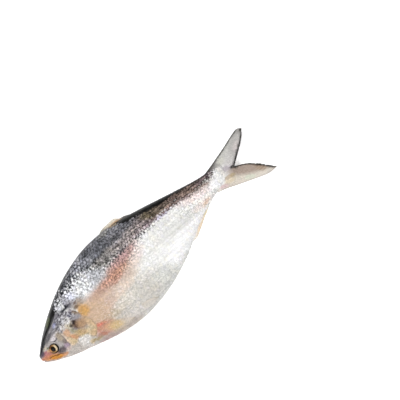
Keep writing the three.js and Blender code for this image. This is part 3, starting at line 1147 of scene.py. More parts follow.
@dataclass(frozen=True)
class ScaleFinish(Finish):
    """Wet overlapping scales: each has its own tone, painted shade in the pocket ahead and a painted
    highlight in its middle.
    """

    name: str = "wet scales"
    paint: FishPaint = FishPaint()
    curve: float = 0.75
    front: float = -1.15
    home_share: float = 0.2
    fleck_gain: float = 2.2
    swing: float = 0.35
    gleam: float = 0.5
    painted_tilt_shade: float = 0.3
    # Strength of the scales' painted light and shade: a calm level, raised in some zones and faint in
    # others.
    calm_painted_relief: float = 0.22
    sparkling: Patch = zone("sparkling belly", (141, -19), (44, 18), 4, 0.7, 1.0)
    peppered: Patch = zone("peppered belly", (168.5, -37), (52, 20), -4, 0.7, 1.0)
    painted_relief: tuple[Patch, ...] = (
        zone("rear scales", (309, 0), (44, 14), -8, 0.42, 0.9),
        zone("salmon scales", (168, 16), (46, 15), 8, 0.8, 0.9),
        zone("shoulder scales", (112, 34), (56, 17), -4, 0.8, 0.7),
    )
    faint_painted_relief: tuple[Patch, Patch] = (
        zone("smooth flank", (114, -8), (26, 12), 8, 0.4, 0.9),
        zone("smooth belly", (245, -14), (34, 18), 8, 0.6, 0.9),
    )

    def make(self) -> bpy.types.Material:
        """Builds the material."""
        p = Palette(self.name)
        solid = p.solid_place()
        fine = p.noise(solid, 1.8, 3.0, 0.6)
        return p.close(
            Base_Color=self._colour(p, solid),
            Roughness=p.ease(fine, 0.3, 0.7, 0.3, 0.48),
            IOR=1.33,
            Normal=p.bump(fine, 0.05),
            Coat_Weight=0.25,
            Coat_IOR=1.33,
            Coat_Roughness=0.12,
        )

    def _colour(self, p: Palette, solid: Socket) -> Socket:
        """Paints the trunk by each scale's home, then each scale's painted pocket shade, painted gleam and
        flecks.

        Args:
            p: The material in the making.
            solid: The shaded point, in millimetres.

        Returns:
            The scales' colour.
        """
        here = p.place()
        home = p.node("Attribute", attribute_name="scale_home").outputs["Vector"]
        shared = p.node("Mix", {0: self.home_share, 4: here, 5: home}, data_type="VECTOR").outputs[1]
        ragged = p.stray(shared, 3.2, 0.11)
        drawn = p.node("VectorMath", {0: solid, 1: (0.4, 0.6, 0.6)}, operation="MULTIPLY").outputs[0]
        fleck = p.noise(drawn, 1.0, 2.0, 0.6)
        tone = p.node("Attribute", attribute_name="scale_tone").outputs["Fac"]
        other = p.sum("FRACT", p.times(tone, 17.31))
        # Painted shade in the pocket ahead of each scale, and a painted highlight in its middle, which the
        # brighter-toned scales get.
        pocket, middle_highlight = self._exposed(p)
        lit = p.times(middle_highlight, p.ease(tone, 0.2, 1.0))
        pocket_shade = p.times(pocket, p.ease(other, 0.1, 0.9, 0.3, 1.0))
        plate = p.minus(lit, pocket_shade)
        # The grain that breaks up the back: painted pocket shade and middle highlight, random tone, and
        # noise flecks.
        swing = p.scaled(p.minus(other, 0.5), self.swing, p.times(plate, self.swing))
        grain = p.plus(p.scaled(p.minus(fleck, 0.5), self.fleck_gain, 0.5), swing)
        colour = self.paint.flank(p, here, ragged, grain)
        # Painted light and shade on each scale: its middle highlight, its pocket shade, a random brightness
        # that stands for its tilt to the lamps, and light and dark flecks.
        tilt = p.scaled(plate, self.gleam, p.times(p.minus(other, 0.5), self.painted_tilt_shade))
        dots = p.ease(fleck, 0.4, 0.62, -0.54, 0.5)
        colour = p.shade(colour, p.scaled(p.plus(tilt, dots), self._relief(p, ragged), 1.0))
        # Painted glints: white flecks over the fore belly.
        white = p.times(p.ease(fleck, 0.53, 0.66, 0.0, 0.6), p.spot(here, self.sparkling))
        colour = p.mix(white, colour, "#f4f3f1")
        pepper = p.times(p.ease(fleck, 0.44, 0.32, 0.0, 0.6), p.spot(here, self.peppered))
        colour = p.mix(pepper, colour, "#93938d")
        colour = p.mix(p.ease(tone, 0.5, 1.0), colour, "#fbfaff", "MULTIPLY")
        return p.mix(p.ease(other, 0.5, 1.0), colour, "#fffdf9", "MULTIPLY")

    def _exposed(self, p: Palette) -> tuple[Socket, Socket]:
        """Finds where shade is painted, in the pocket behind the scales that overlap this one, and where a
        highlight is painted, in its bare middle.

        Args:
            p: The material in the making.

        Returns:
            How much of each shows, from 0 to 1.
        """
        u, v = p.split(p.node("UVMap", uv_map="ScaleMap").outputs[0])
        x, y = p.scaled(u, 2.0, -1.0), p.scaled(v, 2.0, self.front)
        own = self._edge(p, x)
        beside = self._edge(p, p.minus(1.0, p.sum("ABSOLUTE", x)))
        cover = p.larger(p.minus(own, 1.0), p.minus(beside, 0.5))
        pocket = p.ease(p.minus(y, cover), 0.3, 0.0)
        ahead = p.scaled(p.minus(own, y), 2.6, -1.05)
        across = p.times(x, 2.0)
        off = p.sum("SQRT", p.scaled(across, across, p.times(ahead, ahead)))
        return pocket, p.ease(off, 1.25, 0.2)

    def _edge(self, p: Palette, x: Socket) -> Socket:
        """Where a scale's rear edge runs, at a place across it."""
        inside = p.sum("SUBTRACT", 1.0, p.times(x, x), clamp=True)
        return p.times(p.sum("SQRT", inside), self.curve)

    def _relief(self, p: Palette, where: Socket) -> Socket:
        """How strongly the scales' painted light and shade and their flecks show, zone by zone."""
        painted_relief: Value = self.calm_painted_relief
        for part in self.painted_relief:
            painted_relief = p.larger(painted_relief, p.spot(where, part))
        fore, belly = (p.spot(where, part) for part in self.faint_painted_relief)
        return p.times(painted_relief, p.minus(1.0, p.larger(fore, belly)))


@dataclass(frozen=True)
class SkinFinish(Finish):
    """Bare wet skin: the head's colours ahead of the gills, the trunk's behind them."""

    paint: FishPaint = FishPaint()
    head: HeadPaint = HeadPaint()
    name: str = "wet skin"
    trunk: bool = True
    under_belly: str = "#e6e2dd"
    under_back: str = "#514a48"
    head_end: float = 87.0
    head_end_slope: float = -0.42
    head_end_limit: float = 91.0

    def make(self) -> bpy.types.Material:
        """Builds the material."""
        p = Palette(self.name)
        here = p.place()
        ragged = p.stray(p.stray(here, 2.2, 0.12), 0.7, 0.45)
        colour = self.head.head(p, here, ragged)
        solid = p.solid_place()
        if self.trunk:
            trunk = p.mix(p.beyond(ragged, self.paint.back_border, 9.0), self.under_belly, self.under_back)
            trunk = p.mix(p.beyond(ragged, self.paint.ridge_border, 5.0), trunk, self.paint.ridge)
            colour = p.mix(self._behind_head(p, here), colour, trunk)
        mottle = p.noise(solid, 0.3, 3.0, 0.65)
        colour = p.shade(colour, p.ease(mottle, 0.3, 0.7, 0.84, 1.14))
        fleck = p.noise(solid, 0.62, 2.0, 0.6)
        colour = p.shade(colour, p.ease(fleck, 0.52, 0.66, 1.0, 1.26))
        colour = p.shade(colour, p.ease(fleck, 0.48, 0.34, 1.0, 0.7))
        fine = p.noise(solid, 1.5, 4.0, 0.6)
        dents = p.noise(solid, 0.3, 2.0, 0.5)
        return p.close(
            Base_Color=colour,
            Metallic=p.ease(fleck, 0.4, 0.65, 0.0, 0.15),
            Roughness=p.ease(mottle, 0.3, 0.7, 0.24, 0.4),
            IOR=1.33,
            Normal=p.bump(fine, 0.06, p.bump(dents, 0.5)),
            Coat_Weight=0.35,
            Coat_IOR=1.33,
            Coat_Roughness=0.1,
        )

    def _behind_head(self, p: Palette, where: Socket) -> Socket:
        """How far a place lies behind the head, from 0 to 1."""
        s, t = p.split(where)
        end = p.sum("MINIMUM", p.scaled(t, self.head_end_slope, self.head_end), self.head_end_limit)
        return p.ease(p.minus(s, end), -1.0, 1.0)


# ---- Pieces ----


@dataclass(frozen=True)
class Crease:
    """A crease in the skin: its path, depth and width, and how much of its run fades in and out."""

    name: str
    path: Path
    depth: float
    width: float
    fade_in: float = 0.0
    fade_out: float = 0.0

    def height(self, s: Array, t: Array) -> Array:
        """Height that the crease adds to the skin, which is 0 or less."""
        off, along, _ = near_path(s, t, self.path)
        lower = self.depth * hump(off, self.width)
        if self.fade_in:
            lower = lower * smooth(0, self.fade_in, along)
        if self.fade_out:
            lower = lower * smooth(1.0, 1 - self.fade_out, along)
        return -lower


@dataclass
class Hide:
    """The bare hide of the fish, from the lips to the tail root, with the relief of the head."""

    form: BodyForm
    sides: int = 236
    rings: int = 400
    head_share: float = 0.62
    head_length: float = 104.0
    crowding: float = 1.5
    relief_end: float = 80.0
    cleft: Crease = Crease(
        "mouth cleft", ((-3, -6.2), (10, -10.3), (20, -12.8), (28.5, -17.4)), 1.3, 0.6, fade_out=0.15
    )
    jaw_bone: Path = ((6, -6.8), (14, -8.6), (23, -11.2), (31, -17.6))
    jaw_height: float = 0.55
    cheek_edge: Path = ((43, 15), (45.5, 4), (46.2, -8), (44, -18), (38, -24), (29, -25))
    cheek_step: float = 0.5
    creases: tuple[Crease, ...] = (
        Crease(
            "edge of the crown",
            ((8, 4.8), (15, 8.9), (23, 14.4), (31, 17.9), (39, 20.6), (48, 23.4), (56, 26.1)),
            0.5, 0.7, 0.1,
        ),
        Crease("arc behind the eye", ((28.5, 6), (33, 3), (38, 3.6)), 0.35, 0.6),
        Crease("upper throat fold", ((24, -20.5), (36, -25.5), (50, -31), (62, -38)), 0.45, 0.7, 0.15),
        Crease("lower throat fold", ((30, -25), (42, -30.2), (54, -36), (64, -41)), 0.45, 0.7, 0.15),
    )
    nostrils: tuple[tuple[float, float, float], ...] = ((11.4, 3.4, 0.75), (13.7, 4.6, 1.0))
    nostril_rim: float = 0.25
    nostril_depth: float = 0.9
    orbit: tuple[float, float, float] = (24.4, -4.3, 7.4)
    orbit_rim: float = 0.45
    orbit_depth: float = 1.6

    def build(self) -> bpy.types.Object:
        """Builds the hide."""
        mesh = wrapped_mesh(self.sides, self.rings, self._place)
        return add_piece("hide", mesh, SkinFinish().material(), ["fish"])

    def _place(self, around: Array, along: Array) -> Array:
        """Places the hide.

        Args:
            around: How far round the body, from 0 to 1.
            along: How far along it, from 0 at the snout to 1.

        Returns:
            Places in the frame, in millimetres, one row each.
        """
        share = self.head_share
        head = self.head_length * (np.clip(along / share, 0, 1)) ** self.crowding
        rest = (self.form.flesh_end - self.head_length) * np.clip((along - share) / (1 - share), 0, 1)
        s = head + rest
        angle = math.pi * (2 * around - 0.5)
        t, _ = self.form.section(s, angle)
        return self.form.settle(self.form.skin(s, angle, self._relief(s, t)))

    def _relief(self, s: Array, t: Array) -> Array:
        """Height of the head's bones and creases above the smooth form.

        Args:
            s: Places along the body.
            t: Places across it.

        Returns:
            The height at each place, in millimetres.
        """
        lift = np.zeros_like(s)
        near = s < self.relief_end
        a, b = s[near], t[near]
        rise = self.cleft.height(a, b)
        off, along, _ = near_path(a, b, self.jaw_bone)
        breadth = 1.1 + 1.5 * along
        rise += self.jaw_height * smooth(1.0, 0.72, off / breadth) * smooth(0, 0.15, along)
        off, along, side = near_path(a, b, self.cheek_edge)
        step = self.cheek_step * smooth(-0.5, 0.5, off * side)
        rise += step * np.exp(-off / 5) * smooth(0, 0.1, along) * smooth(1, 0.9, along)
        for crease in self.creases:
            rise += crease.height(a, b)
        for s0, t0, size in self.nostrils:
            off = np.hypot(a - s0, b - t0) / size
            rise += self.nostril_rim * hump(off - 1.3, 0.4) - self.nostril_depth * smooth(1.0, 0.6, off)
        s0, t0, size = self.orbit
        off = np.hypot(a - s0, b - t0) / size
        rise += self.orbit_rim * hump(off - 1.08, 0.09) - self.orbit_depth * smooth(1.0, 0.9, off)
        lift[near] = rise
        return lift


# Each flank has random draws of its own, so that the two coats differ.
SEEDS = {Flank.LEFT: 41, Flank.RIGHT: 43}


@dataclass
class ScaleCoat:
    """The coat of scales on one flank: rows of plates that overlap towards the tail."""

    form: BodyForm
    ruler: SkinRuler
    flank: Flank
    start: float = 52.0
    end: float = 354.5
    pitch_front: float = 5.4
    pitch_rear: float = 4.2
    pitch_from: float = 85.0
    pitch_over: float = 275.0
    row_front: float = 5.1
    row_rear: float = 3.5
    rows: int = 18
    curve: float = 0.75
    front: float = -1.15
    slope: float = 0.22
    base: float = 0.12
    thickness: float = 0.3
    fades_over: float = 14.0
    across: int = 8
    steps: tuple[float, ...] = (0.0, 0.5, 0.82, 1.0)
    columns: tuple[int, int] = (-14, 72)
    keel_gap: float = 0.3
    ridge_gap: float = 0.2
    head_gap: float = 1.0
    shift: float = 0.05
    skew: float = 0.06
    widen: float = 0.03
    tilt: float = 0.03
    home_spread: float = 1.6
    head_border: Path = (
        (58.5, 41.2), (62, 33), (64, 27.5), (68, 24), (80, 21.5), (82.6, 14), (85, 4), (87, -11),
        (87, -23), (80, -30), (68, -38.5),
    )

    def build(self) -> bpy.types.Object:
        """Builds the flank's coat."""
        rng = np.random.default_rng(SEEDS[self.flank])
        centres = self._centres()
        template, local = self._template()
        count, corners = len(centres), len(local)
        bm = bmesh.new()
        for _ in range(count):
            bm.from_mesh(template)
        mesh = mesh_from(bm, "scales")
        x, y, down = (np.broadcast_to(local[:, k], (count, corners)) for k in range(3))
        places = self._lay(centres, x, y, down, rng.normal(0, 1, (count, 6)))
        write_map(mesh, "ScaleMap", np.stack([(x + 1) / 2, (y - self.front) / 2], -1).reshape(-1, 2))
        write_places(mesh, places * MM)
        self._mark(mesh, centres, corners, rng)
        finish_mesh(mesh, 0.0005, math.radians(40))
        finish = ScaleFinish(curve=self.curve, front=self.front)
        return add_piece(f"scales_{self.flank.word}", mesh, finish.material(), ["fish"])

    def _lay(self, centres: Array, x: Array, y: Array, down: Array, jitter: Array) -> Array:
        """Lays the scales' vertices on the flank, each scale a little out of true.

        Args:
            centres: Column and row of each scale.
            x: Place across its scale of every vertex, in pitches.
            y: Place along its scale of every vertex, in pitches.
            down: 1 for a vertex on the scale's lower face.
            jitter: Six random numbers for each scale.

        Returns:
            Places in the frame, in millimetres, one row each.
        """
        tip, roll, ahead, wide, skewed, aside = (jitter[:, k, None] for k in (1, 0, 2, 3, 4, 5))
        column = centres[:, 0, None] + y + self.shift * ahead + self.skew * skewed * x
        row = centres[:, 1, None] + x * (1 + self.widen * wide) + self.shift * aside
        s = np.clip(self._s_of(column), self.ruler.first + 1, self.form.flesh_end - 0.3)
        over = row * self._row_pitch(s)
        ramp = self.base + self.slope * y + self.tilt * roll * x + self.tilt * tip * y
        ramp = ramp * smooth(self.end + 2.0, self.end - self.fades_over, s)
        lift = np.where(down > 0, ramp - self.thickness, ramp)
        angle = self.ruler.angle(s, over)
        if self.flank is Flank.RIGHT:
            angle = math.pi - angle
        return self.form.settle(self.form.skin(s.ravel(), angle.ravel(), lift.ravel()))

    def _mark(self, mesh: bpy.types.Mesh, centres: Array, corners: int, rng: np.random.Generator) -> None:
        """Gives every scale its own tone and the place that it is painted by.

        Args:
            mesh: The coat.
            centres: Column and row of each scale.
            corners: Vertices of one scale.
            rng: The source of the random draws.
        """
        count = len(centres)
        tone = mesh.attributes.new("scale_tone", "FLOAT", "POINT")
        tone.data.foreach_set("value", np.repeat(rng.uniform(0, 1, count), corners).astype(np.float32))
        s = self._s_of(centres[:, 0])
        t, _ = self.form.section(s, self.ruler.angle(s, centres[:, 1] * self._row_pitch(s)))
        s = s + rng.normal(0, self.home_spread, count)
        t = t + rng.normal(0, self.home_spread, count)
        home = np.stack([s, t, np.zeros(count)], -1)
        place = mesh.attributes.new("scale_home", "FLOAT_VECTOR", "POINT")
        place.data.foreach_set("vector", np.repeat(home, corners, 0).astype(np.float32).ravel())

    def _s_of(self, column: Array) -> Array:
        """Place along the body of a column of scales; the pitch shrinks towards the tail."""
        shrink = (self.pitch_front - self.pitch_rear) / self.pitch_over
        return self.pitch_from + self.pitch_front / shrink * (1 - np.exp(-shrink * column))

    def _row_pitch(self, s: Array) -> Array:
        """Distance over the skin from one row to the next."""
        x = np.clip((s - self.pitch_from) / self.pitch_over, -0.1, 1)
        return self.row_front + (self.row_rear - self.row_front) * x

    def _centres(self) -> Array:
        """Lists the scales of the flank, clear of head, back edge and keel.

        Returns:
            Column and row of each scale.
        """
        kept = []
        edge = np.asarray(self.head_border)
        order = np.argsort(edge[:, 1])
        for row in range(-self.rows, self.rows + 1):
            for step in range(*self.columns):
                column = step + 0.5 * (row % 2)
                s = float(self._s_of(np.asarray(column)))
                if not self.start < s < self.end:
                    continue
                pitch = float(self._row_pitch(np.asarray(s)))
                over = row * pitch
                high, low = self.ruler.rim(s, QUARTER), self.ruler.rim(s, -QUARTER)
                if not self.keel_gap * pitch - low < over < high - self.ridge_gap * pitch:
                    continue
                angle = self.ruler.angle(np.asarray([s]), np.asarray([over]))
                t = float(self.form.section(np.asarray([s]), angle)[0][0])
                if s > np.interp(t, edge[order, 1], edge[order, 0]) + self.head_gap:
                    kept.append((column, row))
        return np.asarray(kept, float)

    def _template(self) -> tuple[bpy.types.Mesh, Array]:
        """Makes one scale, closed, in pitches.

        Returns:
            Its mesh, and for every vertex the place across, the place along and 1 if it is below.
        """
        bm = bmesh.new()
        bmesh.ops.create_grid(bm, x_segments=self.across, y_segments=len(self.steps) - 1, size=0.5)
        for vert in bm.verts:
            x = math.sin(vert.co.x * math.pi)
            v = self.steps[round((vert.co.y + 0.5) * (len(self.steps) - 1))]
            rear = self.curve * math.sqrt(max(1 - x * x, 0))
            vert.co = (x, self.front + (rear - self.front) * v, 0)
        rim = [edge for edge in bm.edges if edge.is_boundary]
        made = bmesh.ops.extrude_edge_only(bm, edges=rim)["geom"]
        lowered = [item for item in made if isinstance(item, bmesh.types.BMVert)]
        bmesh.ops.translate(bm, verts=lowered, vec=(0, 0, -1))
        bmesh.ops.holes_fill(bm, edges=[edge for edge in bm.edges if edge.is_boundary], sides=0)
        mesh = mesh_from(bm, "one scale")
        places = read_places(mesh)
        return mesh, np.stack([places[:, 0], places[:, 1], (places[:, 2] < -0.5).astype(float)], -1)


@dataclass
class GillCover:
    """One gill cover: a bony plate, flush at the cheek, whose rear edge stands proud."""

    form: BodyForm
    flank: Flank
    front: Path = ((48, 18), (45.5, 4), (45, -12), (50, -27), (57, -36.5))
    rear: Path = ((79, 18.5), (85.8, 5), (90.6, -11), (88, -25), (70, -38.4))
    sunk: float = 0.5
    proud: float = 0.3
    depth: float = 3.6
    squareness: float = 10.0
    crowding: float = 1.35
    rim_roll: float = 0.45
    rim_from: float = 0.965
    around: int = 220
    down: int = 130
    foot_seam: Path = ((49, -19), (60, -20.5), (74, -24), (88, -21))
    cheek_seam: Path = ((56, 17), (55.5, 2), (57, -12), (62, -21))
    hub: Pair = (54.0, 14.0)
    ray_height: float = 0.07
    rays_a_turn: float = 34.0

    def build(self) -> bpy.types.Object:
        """Builds the cover."""
        mesh = wrapped_mesh(self.around, self.down, self._place, weld=0.01)
        material = SkinFinish(name="gill cover skin", trunk=False).material()
        return add_piece(f"gill_cover_{self.flank.word}", mesh, material, ["fish"])

    def _place(self, around: Array, down: Array) -> Array:
        """Places the cover: its outer face for the first half round, its inner for the rest.

        Args:
            around: How far round the cover, from 0 to 1.
            down: How far down it, from 0 to 1.

        Returns:
            Places in the frame, in millimetres, one row each.
        """
        outer = around <= 0.5
        along = np.where(outer, 2 * around, 2 - 2 * around)
        along = 1 - (1 - along) ** self.crowding
        start, end = curve_through(self.front, down), curve_through(self.rear, down)
        spot = start + (end - start) * along[:, None]
        s, t = spot[:, 0], spot[:, 1]
        full = closing(down, self.squareness)
        rise = -self.sunk + (self.proud * full + self.sunk) * along
        rise -= self.rim_roll * smooth(self.rim_from, 1.0, along) * full
        thin = self.depth * full * np.sqrt(np.abs(np.sin(math.pi * along)))
        lift = np.where(outer, rise + self._relief(s, t, along) * full, rise - thin)
        w = self.flank.value * (self.form.flank(s, t) + lift)
        return self.form.settle(self.form.lay(s, t, w))

    def _relief(self, s: Array, t: Array, along: Array) -> Array:
        """Height of the seams between the cover's bones and of the rays over them.

        Args:
            s: Places along the body.
            t: Places across it.
            along: How far each lies from the cover's front edge to its rear edge.

        Returns:
            The height at each place, in millimetres.
        """
        off, _, side = near_path(s, t, self.foot_seam)
        rise = -0.4 * hump(off, 0.6) + 0.25 * smooth(-0.6, 0.6, off * side) * np.exp(-off / 6)
        off, _, _ = near_path(s, t, self.cheek_seam)
        rise -= 0.35 * hump(off, 0.7)
        bearing = np.arctan2(t - self.hub[1], s - self.hub[0])
        clear = smooth(8, 20, np.hypot(s - self.hub[0], t - self.hub[1]))
        rays = np.sin(bearing * self.rays_a_turn) * clear
        return rise + self.ray_height * rays * smooth(1.0, 0.8, along)


class FinCut(Enum):
    """How a fin's rays run: out from its root, or folded back along the body."""

    SPREAD = "spread"
    FOLDED = "folded"


@dataclass(frozen=True)
class FinFinish(Finish):
    """Thin wet fin: pale rays with darker membrane between them.

    A fin that is pressed to the flank may take a share of the flank's own colours.
    """

    name: str
    membrane: tuple[tuple[float, str], ...]
    rays: float
    ray_tint: str = "#efe8dc"
    ray_strength: float = 0.35
    flank_share: float = 0.0
    sparkle: float = 0.0
    patches: tuple[Patch, ...] = ()
    strokes: tuple[Stroke, ...] = ()

    def make(self) -> bpy.types.Material:
        """Builds the material."""
        p = Palette(self.name)
        here = p.place()
        ragged = p.stray(here, 1.2, 0.2)
        across, along = p.split(p.node("UVMap", uv_map="RayMap").outputs[0])
        solid = p.solid_place()
        mottle = p.noise(solid, 0.22, 3.0, 0.6)
        wavy = p.scaled(p.minus(mottle, 0.5), 0.12, across)
        ramp = p.node("ValToRGB", {0: wavy})
        stops = ramp.color_ramp.elements
        for k, (place, code) in enumerate(self.membrane):
            stop = stops[k] if k < 2 else stops.new(place)
            stop.position = place
            stop.color = tint(code)
        colour = ramp.outputs[0]
        if self.flank_share:
            colour = p.mix(self.flank_share, colour, FishPaint().flank(p, here, ragged))
        colour = p.lay_patches(ragged, colour, self.patches)
        wave = p.sum("COSINE", p.times(across, 2 * math.pi * self.rays))
        crest = p.ease(wave, -0.2, 0.9)
        colour = p.mix(p.times(crest, self.ray_strength), colour, self.ray_tint)
        colour = p.shade(colour, p.ease(wave, -0.4, -1.0, 1.0, 1 - 0.7 * self.ray_strength))
        grain = p.noise(solid, 0.55, 3.0, 0.65)
        colour = p.shade(colour, p.ease(grain, 0.3, 0.7, 0.8, 1.13))
        # Painted glints: pale flecks over the fin.
        if self.sparkle:
            fleck = p.noise(solid, 0.7, 2.0, 0.6)
            colour = p.mix(p.ease(fleck, 0.52, 0.66, 0.0, self.sparkle), colour, "#f0e4d8")
        colour = p.lay_strokes(p.stray(p.stray(here, 1.6, 0.42), 1.4, 0.9), colour, self.strokes)
        segments = p.sum("SINE", p.times(along, 300.0))
        relief = p.scaled(segments, 0.15, crest)
        return p.close(
            Base_Color=colour,
            Roughness=p.ease(grain, 0.3, 0.7, 0.3, 0.48),
            IOR=1.38,
            Normal=p.bump(relief, 0.1),
            Coat_Weight=0.35,
            Coat_IOR=1.33,
            Coat_Roughness=0.15,
        )


@dataclass
class Fin:
    """A fin between a leading and a trailing edge, its faces ridged by the rays."""

    form: BodyForm
    name: str
    leading: Path
    trailing: Path
    finish: FinFinish
    rays: int
    half: Pair
    ridge: float = 0.25
    cut: FinCut = FinCut.SPREAD
    flank: Flank | None = None
    lift: float = 0.9
    around: int = 160
    along: int = 60
    squareness: float = 10.0

    def build(self) -> bpy.types.Object:
        """Builds the fin."""
        mesh = wrapped_mesh(self.around, self.along, self._place, {"RayMap": self._chart}, weld=0.003)
        return add_piece(self.name, mesh, self.finish.material(), ["fish"])

    def _across(self, around: Array) -> Array:
        """How far from the leading to the trailing edge a place round the fin lies."""
        return (1 - np.cos(2 * math.pi * around)) / 2

    def _chart(self, around: Array, along: Array) -> Array:
        """The map that the rays follow."""
        across = self._across(around)
        if self.cut is FinCut.FOLDED:
            across = across * 0.8 + 0.2 * along
        return np.stack([across, along], -1)

    def _place(self, around: Array, along: Array) -> Array:
        """Places the fin.

        Args:
            around: How far round the fin, from 0 to 1.
            along: How far from its root to its tip.

        Returns:
            Places in the frame, in millimetres, one row each.
        """
        across = self._across(around)
        front, rear = curve_through(self.leading, along), curve_through(self.trailing, along)
        spot = front + (rear - front) * across[:, None]
        s, t = spot[:, 0], spot[:, 1]
        half = (self.half[0] + (self.half[1] - self.half[0]) * along) * closing(along, self.squareness)
        wave = np.cos(2 * math.pi * self.rays * self._chart(around, along)[:, 0])
        turn = np.sin(2 * math.pi * around)
        face = np.abs(turn) ** 0.5 * np.sign(turn)
        out = face * half * (1 - self.ridge / 2 + self.ridge / 2 * wave)
        if self.flank is not None:
            out = self.flank.value * (self.form.flank(s, t) + self.lift) + out
        return self.form.settle(self.form.lay(s, t, out))


@dataclass
class TailFin:
    """The forked tail: one fan of rays from the tail root to the two lobes' ragged margins."""

    form: BodyForm
    upper_edge: Path = (
        (336, 22.4), (352, 24.8), (368, 27.9), (385, 31.4), (401, 35.2), (413.5, 37), (420, 32.4)
    )
    lower_edge: Path = ((334, -8), (347, -12.8), (361, -19.4), (384, -30), (403.5, -38), (418.6, -39.2))
    upper_margin: Path = ((375.5, 1.4), (393.5, 12), (410.5, 22.8), (420, 32.4))
    lower_margin: Path = ((376, 1), (391, -6.4), (404.6, -20.2), (418.6, -39.2))
    root: Path = ((334, -8), (341, -2), (342, 8.5), (341, 16), (336, 22.4))
    rays: int = 38
    half: Pair = (1.6, 0.55)
    ridge: float = 0.3
    around: int = 120
    fan: int = 300
    squareness: float = 14.0
    tatter: float = 1.5
    teeth: tuple[float, float, float] = (97.0, 61.0, 211.0)

    def build(self) -> bpy.types.Object:
        """Builds the tail fin."""
        mesh = wrapped_mesh(self.fan, self.around, self._place, {"RayMap": self._chart}, weld=0.003)
        return add_piece("tail_fin", mesh, self._finish().material(), ["fish"])

    def _finish(self) -> FinFinish:
        """Grey upper lobe, cream and brown lower lobe, both with a black ragged hind margin."""
        return FinFinish(
            "tail fin",
            (
                (0.0, "#d3ccc3"), (0.05, "#ddd4c8"), (0.3, "#ddd4c6"), (0.42, "#c6b6aa"), (0.5, "#a3979a"),
                (0.56, "#c8c4c3"), (0.7, "#d5d3d0"), (0.9, "#cdccc8"), (1.0, "#aaa9a4"),
            ),
            rays=float(self.rays),
            ray_strength=0.16,
            patches=(
                Patch("pale root", (350, 4), (19, 12), 0, "#ffffff", 1.0, 0.8),
                Patch("pink base", (346.5, -8), (7, 2.7), -22, "#dcc3c3", 0.9, 0.9),
                Patch("beige base", (358, -8), (8, 3.3), -15, "#e2d2b6", 0.8, 0.9),
                Patch("green cream", (381.5, -23.5), (8, 3.6), -30, "#d6dac8", 0.8, 0.9),
                Patch("inner brown", (386, -12.5), (29, 7), -33, "#978174", 0.85),
                Patch("grey shoulder", (348, 20.5), (15, 5.5), 8, "#8b8786", 0.85),
                Patch("dark shoulder", (344, 22.6), (12, 3.4), 6, "#494543", 0.9, 0.9),
                Patch("grey outer lobe", (400.5, 25.5), (21, 8), 32, "#b0adab", 0.7),
                Patch("brown end", (402, -24), (8.5, 5), -52, "#a08872", 0.85, 0.9),
                Patch("tan start", (359, -3), (7, 2.6), -10, "#bda78a", 0.8),
                Patch("olive dab", (365.5, -5), (4, 2.5), -10, "#b39c6c", 0.6),
                Patch("mauve wedge", (366, 7.5), (6, 3.5), -20, "#b2a8b0", 0.8),
                Patch("green white", (366.5, 20), (7, 4), 10, "#dddcd1", 0.6, 0.9),
                Patch("pink grey", (396.5, 20.5), (8, 4), 25, "#d6cccb", 0.6),
                Patch("black notch", (374, 3), (4.5, 2.1), -24, "#121011", 1, 0.7),
                Patch("grey tip", (415, 33.5), (6, 4), 12, "#8c8a87", 0.7),
                Patch("black tip", (417, 32.5), (2.7, 1.4), 10, "#101010", 1, 0.7),
            ),
            strokes=(
                Stroke("lower leading edge", self.lower_edge, 1.8, "#b4aaa4", 0.8),
                Stroke("upper leading edge", self.upper_edge[:-1], 4.2, "#474641", 0.9),
                Stroke("upper hind band", self.upper_margin, 9.0, "#5d5956", 0.75),
                Stroke("lower hind band", self.lower_margin, 9.0, "#7a6654", 0.5, True),
                Stroke("upper hind margin", self.upper_margin, 7.0, "#1d1b1a", 0.95),
                Stroke("lower hind margin", self.lower_margin, 8.4, "#141110", 1.0, True),
                Stroke(
                    "end of the flesh", ((359, 21), (362.5, 15), (361.5, 9), (358.5, 4)),
                    3.0, "#6c6668", 0.3, True,
                ),
            ),
        )

    def _reach(self, around: Array) -> Array:
        """How far out on its ray a place lies: out on the left face, back on the right."""
        return 1 - np.abs(2 * around - 1)

    def _chart(self, fan: Array, around: Array) -> Array:
        """The map that the rays follow."""
        return np.stack([fan, self._reach(around)], -1)

    def _margin(self, fan: Array) -> Array:
        """The hind edge, from the lower tip through the notch to the upper tip."""
        lower = curve_through(self.lower_margin, 1 - 2 * fan)
        upper = curve_through(self.upper_margin, 2 * fan - 1)
        return np.where(fan[:, None] < 0.5, lower, upper)

    def _place(self, fan: Array, around: Array) -> Array:
        """Places the tail.

        Args:
            fan: How far round the fan, from the lower lobe's edge to the upper's.
            around: How far round each ray, out on the left face and back on the right.

        Returns:
            Places in the frame, in millimetres, one row each.
        """
        out = self._reach(around)
        spot = self._spread(fan, out)
        s, t = spot[:, 0] - np.abs(self._toothed(fan, out)), spot[:, 1]
        side = np.where(around < 0.5, 1.0, -1.0)
        wave = np.cos(2 * math.pi * self.rays * fan)
        half = self.half[0] + (self.half[1] - self.half[0]) * out
        half = half * (1 - self.ridge / 2 + self.ridge / 2 * wave * smooth(0.05, 0.2, out))
        full = closing(fan, self.squareness) * np.sqrt(smooth(1.02, 0.96, out) * (out < 1))
        full = np.where(out <= 0, 0, full)
        return self.form.settle(self.form.lay(s, t, side * half * full))

